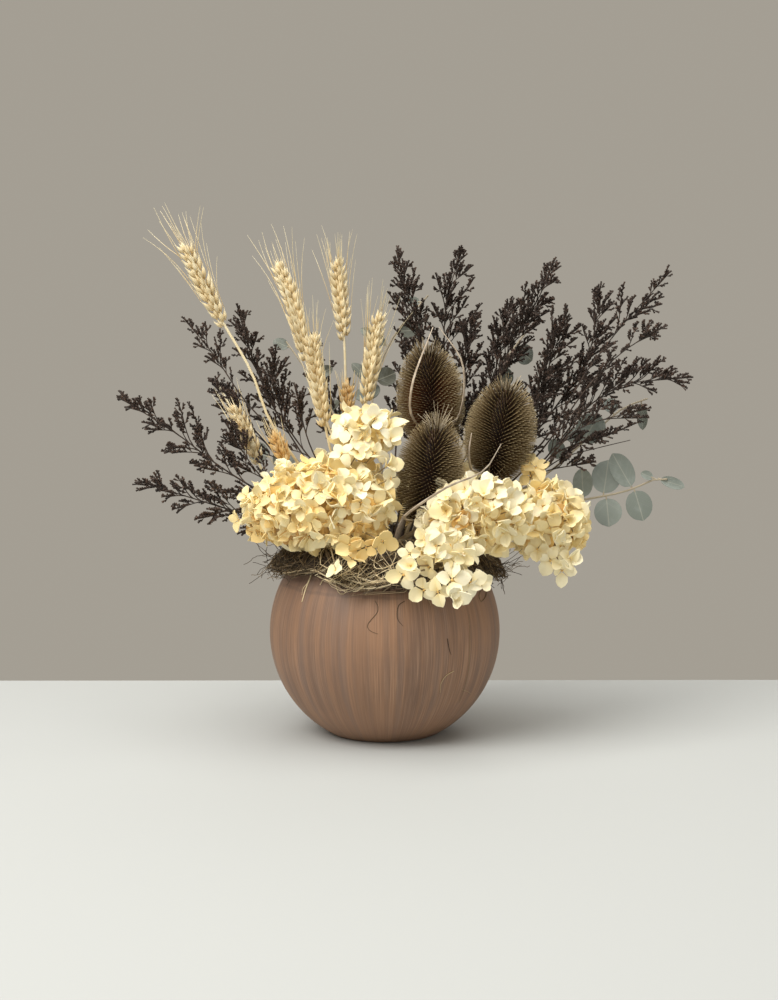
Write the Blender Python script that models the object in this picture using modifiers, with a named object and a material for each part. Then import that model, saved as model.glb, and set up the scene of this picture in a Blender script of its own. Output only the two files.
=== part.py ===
"""A round vase of dried flowers.

The brown ball vase holds a block of dry foam, and each stem stands in a hole of its own in
that block. A collar of wood wool lies over the rim and hides the foam. Lengths are in metres.
The origin is the middle of the vase's foot, +Z is up and -Y is the front.
"""

import math

import bmesh
import bpy
from mathutils import Matrix, Vector

# The vase is a ball, cut flat at the foot and open at the mouth
BALL_RADIUS = 0.0905
BALL_CENTRE_Z = 0.080
WALL = 0.0055
FLOOR = 0.006
MOUTH_ANGLE = math.radians(46)
ROUND_STEPS = 40

# Touching pieces keep this gap, and a flower head keeps a wider one to what stands in it
GAP = 0.0003
HEAD_GAP = 0.0006

# The foam block stands on the vase's floor and reaches a little above the rim
FOAM_RADIUS = 0.048
FOAM_FOOT_RADIUS = 0.038
FOAM_TOP = 0.150
FOAM_EDGE = 0.004
FOAM_CHAMFER = 0.012

# Stems point away from one place below the foam's top, so they fan out without crossing
FAN_DEPTH = 0.100
STEM_DEPTH = 0.030
STEM_RISE = 0.004
STEM_STEP = 0.024

# The wood wool collar: its top is drawn outwards from the foam and hangs over the rim
COLLAR_TOP = ((0.0484, 0.1480), (0.0580, 0.1530), (0.0700, 0.1520), (0.0800, 0.1440), (0.0865, 0.1310))
COLLAR_HEM = (0.0868, 0.1210)
COLLAR_HEM_ANGLE = math.radians(63)
COLLAR_SAG = 0.1380

# Its hem hangs level, except that it rises towards the left: the (x, z) outline of what lies below it
BELOW_HEM = ((-0.120, 0.060), (0.120, 0.060), (0.120, 0.126), (-0.026, 0.126), (-0.056, 0.136),
             (-0.120, 0.136))
HEM_CUT_REACH = 0.120

# How thick a head is along its length, as shares of its length and of its radius
EAR_SHAPE = ((0.10, 0.62), (0.34, 1.0), (0.68, 0.86), (0.90, 0.48), (1.0, 0.10))
PLUME_SHAPE = ((0.15, 0.50), (0.45, 1.0), (0.75, 0.72), (1.0, 0.14))
TEASEL_SHAPE = ((0.03, 0.42), (0.12, 0.74), (0.28, 0.95), (0.48, 1.0), (0.68, 0.90), (0.86, 0.64),
                (1.0, 0.22))

WHEAT_STEM = 0.0012
AWN_POINT = 0.0005
PLUME_STEM = 0.0010
TEASEL_STEM = 0.0024
HYDRANGEA_STEM = 0.0022
EUCALYPTUS_STEM = 0.0012
BRACT_RADIUS = 0.0008
BRACT_STEPS = 7
BRACT_ROUNDNESS = 0
STALK_ROUNDNESS = 1
TEASEL_ROUNDNESS = 3

# Each stalk: where it leaves the foam (x, y), the places it passes, and its head's length and radius.
# A wheat ear's last number is how far its awns reach past its tip
WHEAT = {
    "wheat_1": ((-0.025, -0.006), ((-0.058, -0.009, 0.200), (-0.089, -0.010, 0.246), (-0.103, -0.011, 0.284),
                                   (-0.126, -0.014, 0.325), (-0.154, -0.020, 0.382)), 0.072, 0.0078, 0.030),
    "wheat_2": ((-0.015, 0.004), ((-0.030, 0.006, 0.205), (-0.048, 0.009, 0.250), (-0.061, 0.012, 0.291),
                                  (-0.073, 0.014, 0.341), (-0.085, 0.016, 0.369)), 0.082, 0.0078, 0.027),
    "wheat_3": ((-0.015, -0.006), ((-0.030, -0.008, 0.195), (-0.042, -0.016, 0.224),
                                   (-0.054, -0.023, 0.292), (-0.055, -0.026, 0.314)), 0.074, 0.0076, 0.026),
    "wheat_4": ((-0.009, 0.012), ((-0.022, 0.022, 0.200), (-0.030, 0.028, 0.250), (-0.032, 0.030, 0.306),
                                  (-0.038, 0.034, 0.373)), 0.067, 0.0074, 0.024),
    "wheat_5": ((-0.011, -0.001), ((-0.022, -0.001, 0.195), (-0.029, 0.002, 0.230),
                                   (-0.029, 0.003, 0.278)), 0.034, 0.0058, 0.008),
    "wheat_6": ((-0.004, -0.005), ((-0.013, -0.006, 0.200), (-0.016, -0.008, 0.242), (-0.008, -0.010, 0.306),
                                   (-0.004, -0.011, 0.330)), 0.074, 0.0076, 0.024),
    "wheat_7": ((-0.031, -0.010), ((-0.054, -0.009, 0.180), (-0.070, -0.015, 0.200),
                                   (-0.086, -0.026, 0.239)), 0.031, 0.0070, 0.012),
    "wheat_8": ((-0.032, 0.015), ((-0.066, 0.024, 0.176), (-0.092, 0.029, 0.194),
                                  (-0.108, 0.034, 0.228), (-0.122, 0.038, 0.257)), 0.054, 0.0074, 0.022),
}

PLUMES = {
    "limonium_1": ((-0.037, 0.001), ((-0.070, 0.001, 0.176), (-0.099, -0.001, 0.191), (-0.131, -0.005, 0.212),
                                     (-0.160, -0.009, 0.235), (-0.204, -0.014, 0.264)), 0.100, 0.0070),
    "limonium_2": ((-0.040, -0.008), ((-0.076, -0.016, 0.168), (-0.110, -0.026, 0.176),
                                      (-0.148, -0.038, 0.189), (-0.186, -0.046, 0.202)), 0.090, 0.0070),
    "limonium_3": ((-0.036, 0.009), ((-0.070, 0.012, 0.180), (-0.099, 0.014, 0.202),
                                     (-0.128, 0.022, 0.245)), 0.060, 0.0060),
    "limonium_4": ((-0.024, 0.008), ((-0.054, 0.010, 0.195), (-0.090, 0.016, 0.238), (-0.112, 0.022, 0.262),
                                     (-0.136, 0.028, 0.297), (-0.159, 0.034, 0.324)), 0.095, 0.0068),
    "limonium_5": ((-0.021, 0.021), ((-0.052, 0.038, 0.195), (-0.088, 0.052, 0.250),
                                     (-0.104, 0.060, 0.284), (-0.119, 0.070, 0.330)), 0.085, 0.0068),
    "limonium_6": ((-0.029, 0.022), ((-0.062, 0.040, 0.185), (-0.099, 0.058, 0.227),
                                     (-0.143, 0.074, 0.275)), 0.070, 0.0065),
    "limonium_7": ((-0.019, 0.012), ((-0.045, 0.026, 0.195), (-0.076, 0.036, 0.236),
                                     (-0.088, 0.040, 0.268), (-0.087, 0.046, 0.302)), 0.075, 0.0070),
    "limonium_8": ((-0.022, -0.001), ((-0.046, -0.001, 0.200), (-0.060, -0.001, 0.231),
                                      (-0.070, -0.002, 0.272)), 0.055, 0.0055),
    "limonium_9": ((0.008, 0.020), ((0.022, 0.040, 0.215), (0.032, 0.052, 0.268), (0.027, 0.056, 0.315),
                                    (0.016, 0.060, 0.353), (0.010, 0.064, 0.377)), 0.100, 0.0070),
    "limonium_10": ((0.014, 0.026), ((0.032, 0.052, 0.220), (0.048, 0.068, 0.290), (0.050, 0.074, 0.335),
                                     (0.063, 0.080, 0.381)), 0.100, 0.0070),
    "limonium_11": ((0.019, 0.017), ((0.046, 0.036, 0.210), (0.064, 0.046, 0.272), (0.066, 0.050, 0.302),
                                     (0.075, 0.054, 0.328)), 0.075, 0.0070),
    "limonium_12": ((0.024, 0.021), ((0.056, 0.044, 0.210), (0.086, 0.062, 0.268), (0.097, 0.068, 0.312),
                                     (0.104, 0.072, 0.341)), 0.085, 0.0070),
    "limonium_13": ((0.024, 0.010), ((0.056, 0.024, 0.200), (0.084, 0.034, 0.256), (0.102, 0.038, 0.306),
                                     (0.124, 0.042, 0.343), (0.136, 0.046, 0.371)), 0.100, 0.0072),
    "limonium_14": ((0.029, 0.006), ((0.066, 0.018, 0.190), (0.104, 0.028, 0.226), (0.127, 0.034, 0.276),
                                     (0.145, 0.040, 0.328)), 0.095, 0.0072),
    "limonium_15": ((0.029, 0.017), ((0.068, 0.036, 0.190), (0.112, 0.050, 0.222), (0.142, 0.056, 0.258),
                                     (0.166, 0.062, 0.296), (0.176, 0.068, 0.352)), 0.110, 0.0070),
    "limonium_16": ((0.034, 0.010), ((0.076, 0.018, 0.184), (0.124, 0.018, 0.226), (0.160, 0.020, 0.284),
                                     (0.187, 0.022, 0.319), (0.224, 0.026, 0.360)), 0.115, 0.0070),
    "limonium_17": ((0.035, 0.002), ((0.078, 0.007, 0.178), (0.120, 0.006, 0.218), (0.158, -0.002, 0.272),
                                     (0.185, -0.008, 0.300), (0.215, -0.012, 0.318)), 0.090, 0.0070),
    "limonium_18": ((0.037, 0.017), ((0.082, 0.032, 0.176), (0.126, 0.036, 0.210), (0.160, 0.036, 0.252),
                                     (0.190, 0.034, 0.272), (0.243, 0.032, 0.278)), 0.105, 0.0070),
    "limonium_19": ((0.039, -0.004), ((0.082, -0.002, 0.174), (0.120, -0.006, 0.208), (0.150, -0.014, 0.240),
                                      (0.202, -0.024, 0.256)), 0.080, 0.0068),
    "limonium_20": ((0.041, 0.004), ((0.086, 0.008, 0.176), (0.122, 0.002, 0.204), (0.162, -0.004, 0.213)),
                    0.046, 0.0050),
    "limonium_21": ((-0.012, 0.034), ((-0.030, 0.064, 0.224), (-0.048, 0.092, 0.270),
                                      (-0.062, 0.116, 0.312)), 0.090, 0.0070),
    "limonium_22": ((0.006, 0.038), ((0.010, 0.070, 0.228), (0.018, 0.100, 0.280),
                                     (0.022, 0.124, 0.326)), 0.095, 0.0070),
    "limonium_23": ((0.028, 0.032), ((0.070, 0.068, 0.212), (0.114, 0.098, 0.246),
                                     (0.150, 0.116, 0.280)), 0.090, 0.0070),
}

# A teasel's entry ends with its bracts, each from the head's foot through its places to its point
TEASELS = {
    "teasel_1": ((0.010, 0.010), ((0.026, 0.012, 0.190), (0.037, 0.012, 0.226), (0.033, 0.014, 0.306)),
                 0.078, 0.0245,
                 (((0.020, -0.010, 0.252), (0.022, -0.018, 0.278), (0.037, -0.014, 0.318)),
                  ((0.058, -0.004, 0.250), (0.060, -0.012, 0.290), (0.042, -0.010, 0.318)),
                  ((0.030, 0.040, 0.246), (0.026, 0.044, 0.275), (0.030, 0.038, 0.300)))),
    "teasel_2": ((0.011, -0.035), ((0.026, -0.042, 0.166), (0.041, -0.048, 0.250)), 0.080, 0.0245,
                 (((0.014, -0.074, 0.178), (0.046, -0.098, 0.203), (0.072, -0.094, 0.214), (0.085, -0.086, 0.233)),
                  ((0.032, -0.014, 0.190), (0.036, -0.010, 0.215), (0.040, -0.018, 0.240)))),
    "teasel_3": ((0.027, -0.006), ((0.060, -0.009, 0.180), (0.082, -0.008, 0.204), (0.097, -0.006, 0.277)),
                 0.075, 0.0255,
                 (((0.066, -0.030, 0.210), (0.064, -0.036, 0.224), (0.066, -0.034, 0.238)),
                  ((0.095, 0.020, 0.222), (0.105, 0.026, 0.248), (0.113, 0.018, 0.272)))),
}

# A hydrangea's entry: foam exit, stem places, lobes (centre and half sizes), and what stands in it
HYDRANGEAS = {
    "hydrangea_1": ((-0.018, -0.020), ((-0.032, -0.036, 0.172),),
                    (((-0.047, -0.050, 0.185), (0.056, 0.040, 0.034)),
                     ((-0.086, -0.042, 0.173), (0.021, 0.022, 0.020))),
                    ("teasel_2", "wheat_7", "limonium_2", "wheat_1")),
    "hydrangea_2": ((-0.007, -0.014), ((-0.012, -0.012, 0.195), (-0.017, -0.030, 0.226)),
                    (((-0.014, -0.040, 0.239), (0.025, 0.017, 0.020)),),
                    ("teasel_2", "wheat_3", "wheat_6")),
    "hydrangea_3": ((0.024, -0.026), ((0.044, -0.046, 0.170),),
                    (((0.069, -0.062, 0.179), (0.039, 0.032, 0.028)),
                     ((0.043, -0.088, 0.150), (0.024, 0.018, 0.024))),
                    ("teasel_2", "teasel_3")),
    "hydrangea_4": ((0.036, -0.013), ((0.072, -0.020, 0.166), (0.100, -0.022, 0.170)),
                    (((0.125, -0.021, 0.169), (0.031, 0.031, 0.031)),),
                    ("teasel_3", "limonium_19", "limonium_20", "limonium_17")),
    "hydrangea_5": ((-0.018, 0.030), ((-0.030, 0.044, 0.172),),
                    (((-0.038, 0.062, 0.182), (0.044, 0.034, 0.032)),),
                    ("limonium_5", "limonium_6", "limonium_21", "eucalyptus_3", "eucalyptus_6")),
    "hydrangea_6": ((0.018, 0.032), ((0.030, 0.046, 0.170),),
                    (((0.048, 0.064, 0.178), (0.040, 0.032, 0.030)),),
                    ("limonium_22", "limonium_23", "limonium_12", "eucalyptus_1", "eucalyptus_4",
                     "eucalyptus_5")),
}

# A eucalyptus entry: foam exit, stem places, and leaves as (share of the stem, direction, length, width)
EUCALYPTUS = {
    "eucalyptus_1": ((0.035, 0.024), ((0.080, 0.044, 0.172), (0.128, 0.056, 0.196), (0.166, 0.060, 0.228),
                                      (0.194, 0.062, 0.252), (0.214, 0.062, 0.260)),
                     ((0.66, (-0.5, 0.2, 0.9), 0.019, 0.014), (0.74, (0.5, -0.2, 0.9), 0.028, 0.024),
                      (0.74, (-0.2, 0.9, 0.5), 0.022, 0.020), (0.88, (-0.3, 0.2, 1.0), 0.014, 0.012),
                      (0.98, (0.1, 0.2, -1.0), 0.024, 0.009))),
    "eucalyptus_2": ((0.041, 0.013), ((0.090, 0.020, 0.168), (0.128, 0.020, 0.176), (0.160, 0.010, 0.183),
                                      (0.189, 0.002, 0.190), (0.213, -0.003, 0.2005), (0.220, -0.005, 0.200)),
                     ((0.70, (-0.1, -0.2, 1.0), 0.026, 0.016), (0.77, (0.15, 0.1, 1.0), 0.028, 0.023),
                      (0.78, (0.1, -0.2, -1.0), 0.024, 0.022), (0.875, (-0.5, 0.1, 0.85), 0.031, 0.018),
                      (0.88, (0.3, -0.1, -1.0), 0.026, 0.021), (0.96, (-0.9, 0.1, 0.4), 0.012, 0.007),
                      (0.97, (1.0, -0.1, -0.35), 0.021, 0.009))),
    "eucalyptus_3": ((-0.010, 0.024), ((-0.020, 0.034, 0.205), (-0.044, 0.062, 0.252), (-0.068, 0.080, 0.288),
                                       (-0.081, 0.088, 0.306)),
                     ((0.60, (0.3, 0.9, 0.4), 0.022, 0.020), (0.66, (-0.3, 0.9, 0.3), 0.022, 0.020),
                      (0.82, (0.9, 0.3, 0.5), 0.020, 0.010), (0.97, (-0.8, 0.3, 0.3), 0.016, 0.010))),
    "eucalyptus_4": ((0.001, 0.028), ((-0.003, 0.038, 0.210), (-0.010, 0.062, 0.262), (0.006, 0.082, 0.308),
                                      (0.036, 0.094, 0.344)),
                     ((0.58, (-0.3, 0.9, 0.5), 0.024, 0.022), (0.64, (-0.8, 0.2, 0.75), 0.025, 0.010),
                      (0.65, (0.8, 0.5, 0.3), 0.020, 0.016), (0.78, (-0.9, 0.1, 0.6), 0.027, 0.010),
                      (0.84, (0.9, 0.3, 0.05), 0.022, 0.014), (0.97, (-0.9, 0.2, 0.1), 0.013, 0.008))),
    "eucalyptus_5": ((0.022, 0.026), ((0.046, 0.050, 0.212), (0.078, 0.078, 0.256), (0.098, 0.092, 0.288),
                                      (0.120, 0.102, 0.316)),
                     ((0.62, (-0.2, 0.9, 0.5), 0.024, 0.022), (0.70, (0.8, 0.5, -0.3), 0.024, 0.022),
                      (0.84, (0.2, 0.5, -0.9), 0.020, 0.016), (0.92, (0.7, 0.3, -0.5), 0.020, 0.017))),
    "eucalyptus_6": ((-0.034, 0.022), ((-0.058, 0.060, 0.168), (-0.078, 0.090, 0.184), (-0.092, 0.110, 0.200),
                                       (-0.101, 0.122, 0.214)),
                     ((0.74, (0.6, 0.6, 0.5), 0.024, 0.020), (0.76, (-0.9, 0.2, -0.3), 0.026, 0.023),
                      (0.86, (0.4, 0.5, 0.7), 0.022, 0.019), (0.95, (-0.8, 0.3, 0.3), 0.020, 0.018))),
}
LEAF_THICKNESS = 0.0009
LEAF_SIDES = 12
LEAF_SEAT = 0.0003

TERRACOTTA = (0.262, 0.137, 0.085)
FOAM_GREY = (0.075, 0.060, 0.045)
WOOD_WOOL = (0.180, 0.120, 0.065)
STRAW = (0.700, 0.500, 0.240)
DARK_BROWN = (0.030, 0.015, 0.011)
TEASEL_BROWN = (0.120, 0.085, 0.050)
CREAM = (0.850, 0.720, 0.450)
GREY_GREEN = (0.200, 0.240, 0.190)


def clear_scene():
    for old in list(bpy.data.objects):
        bpy.data.objects.remove(old, do_unlink=True)


def new_collection(name):
    made = bpy.data.collections.new(name)
    bpy.context.scene.collection.children.link(made)
    return made


def finish(name, colour, roughness):
    """A plain surface of one colour."""
    made = bpy.data.materials.new(name)
    made.use_nodes = True
    shader = made.node_tree.nodes["Principled BSDF"]
    shader.inputs["Base Color"].default_value = (*colour, 1.0)
    shader.inputs["Roughness"].default_value = roughness
    shader.inputs["Metallic"].default_value = 0.0
    return made


def ball_point(radius, angle):
    """The (r, z) of a place on a ball round the vase's middle, the angle taken from straight up."""
    return radius * math.sin(angle), BALL_CENTRE_Z + radius * math.cos(angle)


def ball_arc(radius, start, end, steps):
    return [ball_point(radius, start + (end - start) * i / steps) for i in range(steps + 1)]


def lip_arc(grow, steps):
    """The rounded rim from its inner to its outer side, grown by a gap."""
    middle_r, middle_z = ball_point(BALL_RADIUS - WALL / 2, MOUTH_ANGLE)
    radius = WALL / 2 + grow
    points = []
    for i in range(steps + 1):
        turn = MOUTH_ANGLE - math.pi + math.pi * i / steps
        points.append((middle_r + radius * math.sin(turn), middle_z + radius * math.cos(turn)))
    return points


def turned(name, profile, closed, material, collection):
    """A profile of (r, z) places, turned round the Z axis by a Screw modifier."""
    mesh = bpy.data.meshes.new(name)
    edges = [(i, i + 1) for i in range(len(profile) - 1)]
    if closed:
        edges.append((len(profile) - 1, 0))
    mesh.from_pydata([(r, 0.0, z) for r, z in profile], edges, [])
    made = bpy.data.objects.new(name, mesh)
    collection.objects.link(made)
    screw = made.modifiers.new("turn", "SCREW")
    screw.steps = ROUND_STEPS
    screw.render_steps = ROUND_STEPS
    screw.use_merge_vertices = True
    screw.merge_threshold = 0.00005
    mesh.materials.append(material)
    return made


def tube(name, points, radii, roundness, collection):
    """A closed tube through the points, with a radius at each of them."""
    thickest = max(radii)
    curve = bpy.data.curves.new(name, "CURVE")
    curve.dimensions = "3D"
    curve.bevel_depth = thickest
    curve.bevel_resolution = roundness
    curve.use_fill_caps = True
    spline = curve.splines.new("POLY")
    spline.points.add(len(points) - 1)
    for place, point, radius in zip(spline.points, points, radii):
        place.co = (*point, 1.0)
        place.radius = radius / thickest
    made = bpy.data.objects.new(name, curve)
    collection.objects.link(made)
    return made


def as_mesh(piece, collection):
    """The curve object as a mesh object of the same name, its caps welded on."""
    name = piece.name
    bpy.context.view_layer.update()
    evaluated = piece.evaluated_get(bpy.context.evaluated_depsgraph_get())
    mesh = bpy.data.meshes.new_from_object(evaluated)
    shape = bmesh.new()
    shape.from_mesh(mesh)
    bmesh.ops.remove_doubles(shape, verts=shape.verts, dist=0.00001)
    bmesh.ops.recalc_face_normals(shape, faces=shape.faces)
    shape.to_mesh(mesh)
    shape.free()
    matrix = piece.matrix_world.copy()
    bpy.data.objects.remove(piece, do_unlink=True)
    made = bpy.data.objects.new(name, mesh)
    made.matrix_world = matrix
    collection.objects.link(made)
    return made


def combine(piece, other, operation):
    """Cut the piece with another (DIFFERENCE), or join that one to it (UNION)."""
    boolean = piece.modifiers.new(operation.lower(), "BOOLEAN")
    boolean.operation = operation
    boolean.solver = "EXACT"
    boolean.object = other


def smooth_route(points, steps=16):
    """One smooth curve from the second point to the last; the first only sets how it sets off."""
    places = [Vector(p) for p in points]
    places.append(places[-1] * 2 - places[-2])
    curve = [places[1]]
    for before, start, end, after in zip(places, places[1:], places[2:], places[3:]):
        leave = (end - before) * 0.5 * min(1.0, (end - start).length / max((start - before).length, 1e-6))
        arrive = (after - start) * 0.5 * min(1.0, (end - start).length / max((after - end).length, 1e-6))
        for i in range(1, steps + 1):
            t = i / steps
            curve.append(start * (2 * t ** 3 - 3 * t ** 2 + 1) + leave * (t ** 3 - 2 * t ** 2 + t)
                         + end * (3 * t ** 2 - 2 * t ** 3) + arrive * (t ** 3 - t ** 2))
    return curve


def along(curve, distance):
    """The place that lies a distance along a curve."""
    for start, end in zip(curve, curve[1:]):
        step = (end - start).length
        if distance <= step:
            return start.lerp(end, distance / step)
        distance -= step
    return curve[-1].copy()


def curve_length(curve):
    return sum((end - start).length for start, end in zip(curve, curve[1:]))


def foam_stretch(leaves_foam):
    """The straight stretch in the foam: the stem's lower end and the place just above the foam."""
    exit_place = Vector((*leaves_foam, FOAM_TOP + STEM_RISE))
    fan = Vector((0, 0, FOAM_TOP - FAN_DEPTH))
    slope = (exit_place - fan).normalized()
    return exit_place - slope * (STEM_DEPTH + STEM_RISE) / slope.z, exit_place


def stalk_stations(leaves_foam, places, stem_radius, head_length, head_radius, head_shape):
    """The places along a stalk, from its end in the foam to its tip, and its radius at each."""
    low, exit_place = foam_stretch(leaves_foam)
    curve = smooth_route([low, exit_place, *places])
    length = curve_length(curve)
    neck = length - head_length
    count = max(2, round(neck / STEM_STEP))
    stations = [(low, stem_radius)]
    for i in range(count + 1):
        stations.append((along(curve, neck * i / count), stem_radius))
    for share, thick in head_shape:
        radius = max(stem_radius * 0.5, head_radius * thick)
        stations.append((along(curve, neck + head_length * share), radius))
    return [place for place, _ in stations], [radius for _, radius in stations]


def stalk(name, entry, stem_radius, head_shape, roundness, collection, grow=0.0):
    """A stem and its head as one closed tube; a wheat ear goes on to the points of its awns."""
    leaves_foam, places, head_length, head_radius = entry[:4]
    points, radii = stalk_stations(leaves_foam, places, stem_radius, head_length, head_radius, head_shape)
    if name in WHEAT:
        onward = (points[-1] - points[-2]).normalized()
        points.append(points[-1] + onward * entry[4])
        radii.append(AWN_POINT)
    return tube(name, points, [radius + grow for radius in radii], roundness, collection)


def bract(name, foot, places, collection):
    """A long thin leaf that curves up from the foot of a teasel's head."""
    curve = smooth_route([foot * 2 - Vector(places[0]), foot, *places])
    length = curve_length(curve)
    points = [along(curve, length * i / BRACT_STEPS) for i in range(BRACT_STEPS + 1)]
    radii = [BRACT_RADIUS * (1.0 - 0.5 * i / BRACT_STEPS) for i in range(BRACT_STEPS + 1)]
    return tube(name, points, radii, BRACT_ROUNDNESS, collection)


def teasel(name, collection, cutters):
    entry = TEASELS[name]
    leaves_foam, places, head_length = entry[:3]
    whole = stalk(name, entry, TEASEL_STEM, TEASEL_SHAPE, TEASEL_ROUNDNESS, collection)
    piece = as_mesh(whole, collection)
    curve = smooth_route([*foam_stretch(leaves_foam), *places])
    foot = along(curve, curve_length(curve) - head_length)
    for i, bract_places in enumerate(entry[4]):
        side = bract(f"{name}_bract_{i + 1}", foot, bract_places, cutters)
        combine(piece, as_mesh(side, cutters), "UNION")
    return piece


def lobe(name, centre, half_sizes, collection):
    """One rounded swelling of a flower head."""
    bpy.ops.mesh.primitive_uv_sphere_add(segments=18, ring_count=10, radius=1.0, location=centre)
    made = bpy.context.object
    made.name = name
    made.scale = half_sizes
    for holder in list(made.users_collection):
        holder.objects.unlink(made)
    collection.objects.link(made)
    return made


def hydrangea(name, collection, cutters):
    lobes, standing_in_it = HYDRANGEAS[name][2:]
    piece = lobe(name, *lobes[0], collection)
    for i, (centre, half_sizes) in enumerate(lobes[1:]):
        combine(piece, lobe(f"{name}_lobe_{i + 2}", centre, half_sizes, cutters), "UNION")
    combine(piece, collar_envelope(f"{name}_collar_cut", cutters), "DIFFERENCE")
    for other in standing_in_it:
        combine(piece, grown_copy(other, f"{name}_{other}_cut", cutters), "DIFFERENCE")
    combine(piece, hydrangea_stem(f"{name}_stem", name, cutters), "UNION")
    return piece


def hydrangea_stem(made_name, name, cutters):
    """The stem, from its end in the foam to the middle of the head's first lobe."""
    leaves_foam, places, lobes = HYDRANGEAS[name][:3]
    middle_of_head = lobes[0][0]
    low, exit_place = foam_stretch(leaves_foam)
    curve = smooth_route([low, exit_place, *places, middle_of_head])
    length = curve_length(curve)
    count = max(3, round(length / STEM_STEP))
    points = [low] + [along(curve, length * i / count) for i in range(count + 1)]
    stem = tube(made_name, points, [HYDRANGEA_STEM] * len(points), STALK_ROUNDNESS, cutters)
    return as_mesh(stem, cutters)


def grown_copy(name, made_name, cutters):
    """Another piece's shape, a little thicker, to cut room for it."""
    if name in WHEAT:
        copy = stalk(made_name, WHEAT[name], WHEAT_STEM, EAR_SHAPE, STALK_ROUNDNESS, cutters, HEAD_GAP)
    elif name in PLUMES:
        copy = stalk(made_name, PLUMES[name], PLUME_STEM, PLUME_SHAPE, STALK_ROUNDNESS, cutters, HEAD_GAP)
    elif name in TEASELS:
        copy = stalk(made_name, TEASELS[name], TEASEL_STEM, TEASEL_SHAPE, TEASEL_ROUNDNESS, cutters, HEAD_GAP)
    else:
        copy = eucalyptus_stem(made_name, name, cutters, HEAD_GAP)
    return as_mesh(copy, cutters)


def eucalyptus_places(name):
    """The places along a eucalyptus stem, from its end in the foam to its tip."""
    low, exit_place = foam_stretch(EUCALYPTUS[name][0])
    curve = smooth_route([low, exit_place, *EUCALYPTUS[name][1]])
    length = curve_length(curve)
    count = round(length / STEM_STEP)
    return [low] + [along(curve, length * i / count) for i in range(count + 1)]


def eucalyptus_stem(made_name, name, collection, grow=0.0):
    places = eucalyptus_places(name)
    last = len(places) - 1
    radii = [EUCALYPTUS_STEM * (1.0 - 0.35 * i / last) + grow for i in range(last + 1)]
    return tube(made_name, places, radii, STALK_ROUNDNESS, collection)


def leaf(name, foot, direction, length, width, collection):
    """A round flat leaf whose edge sits on its stem."""
    bpy.ops.mesh.primitive_cylinder_add(vertices=LEAF_SIDES, radius=0.5, depth=LEAF_THICKNESS)
    made = bpy.context.object
    made.name = name
    ahead = Vector(direction).normalized()
    face = (Vector((0, -1, 0.25)) - ahead * ahead.dot(Vector((0, -1, 0.25)))).normalized()
    across = face.cross(ahead)
    turn = Matrix((across, ahead, face)).transposed().to_4x4()
    middle = foot + ahead * (length / 2 + LEAF_SEAT)
    made.matrix_world = Matrix.Translation(middle) @ turn @ Matrix.Diagonal((width, length, 1.0, 1.0))
    for holder in list(made.users_collection):
        holder.objects.unlink(made)
    collection.objects.link(made)
    return made


def eucalyptus(name, collection, cutters):
    piece = as_mesh(eucalyptus_stem(name, name, collection), collection)
    places = eucalyptus_places(name)
    length = curve_length(places)
    for i, (share, direction, leaf_length, leaf_width) in enumerate(EUCALYPTUS[name][2]):
        foot = along(places, length * share)
        made = leaf(f"{name}_leaf_{i + 1}", foot, direction, leaf_length, leaf_width, cutters)
        combine(piece, made, "UNION")
    return piece


def vase(material, collection):
    foot_angle = math.acos(-BALL_CENTRE_Z / BALL_RADIUS)
    inner = BALL_RADIUS - WALL
    floor_angle = math.acos((FLOOR - BALL_CENTRE_Z) / inner)
    profile = [(0.0, FLOOR)]
    profile += ball_arc(inner, floor_angle, MOUTH_ANGLE, 10)
    profile += lip_arc(0.0, 4)[1:-1]
    profile += ball_arc(BALL_RADIUS, MOUTH_ANGLE, foot_angle, 12)
    profile.append((0.0, 0.0))
    return turned("vase", profile, False, material, collection)


def foam_block(material, collection):
    bottom = FLOOR + GAP
    profile = [(0.0, FOAM_TOP), (FOAM_RADIUS - FOAM_EDGE, FOAM_TOP), (FOAM_RADIUS, FOAM_TOP - FOAM_EDGE),
               (FOAM_RADIUS, bottom + FOAM_CHAMFER), (FOAM_FOOT_RADIUS, bottom), (0.0, bottom)]
    return turned("foam_block", profile, False, material, collection)


def hem_cutter(cutters):
    """A block of all that lies below the collar's hem."""
    count = len(BELOW_HEM)
    places = [(x, y, z) for y in (-HEM_CUT_REACH, HEM_CUT_REACH) for x, z in BELOW_HEM]
    faces = [tuple(range(count)), tuple(reversed(range(count, 2 * count)))]
    faces += [((i + 1) % count, i, i + count, (i + 1) % count + count) for i in range(count)]
    mesh = bpy.data.meshes.new("hem_cut")
    mesh.from_pydata(places, [], faces)
    made = bpy.data.objects.new("hem_cut", mesh)
    cutters.objects.link(made)
    return made


def collar(material, collection, cutters):
    over_rim = lip_arc(GAP, 4)
    down_the_ball = ball_arc(BALL_RADIUS + GAP, MOUTH_ANGLE, COLLAR_HEM_ANGLE, 2)
    profile = list(COLLAR_TOP) + [COLLAR_HEM]
    profile += list(reversed(down_the_ball))
    profile += list(reversed(over_rim[:-1]))
    profile += [(over_rim[0][0], COLLAR_SAG), (COLLAR_TOP[0][0], COLLAR_SAG)]
    piece = turned("wood_wool_collar", profile, True, material, collection)
    combine(piece, hem_cutter(cutters), "DIFFERENCE")
    return piece


def collar_envelope(name, cutters):
    """Everything under the collar's top, a little larger, to cut room for it in the flower heads."""
    profile = [(0.0, COLLAR_TOP[1][1] + HEAD_GAP)]
    profile += [(r + HEAD_GAP, z + HEAD_GAP) for r, z in COLLAR_TOP[1:]]
    hem_r, hem_z = COLLAR_HEM
    profile += [(hem_r + HEAD_GAP, hem_z - HEAD_GAP), (BALL_RADIUS + HEAD_GAP, BALL_CENTRE_Z)]
    profile.append((0.0, BALL_CENTRE_Z))
    return turned(name, profile, False, None, cutters)


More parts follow.
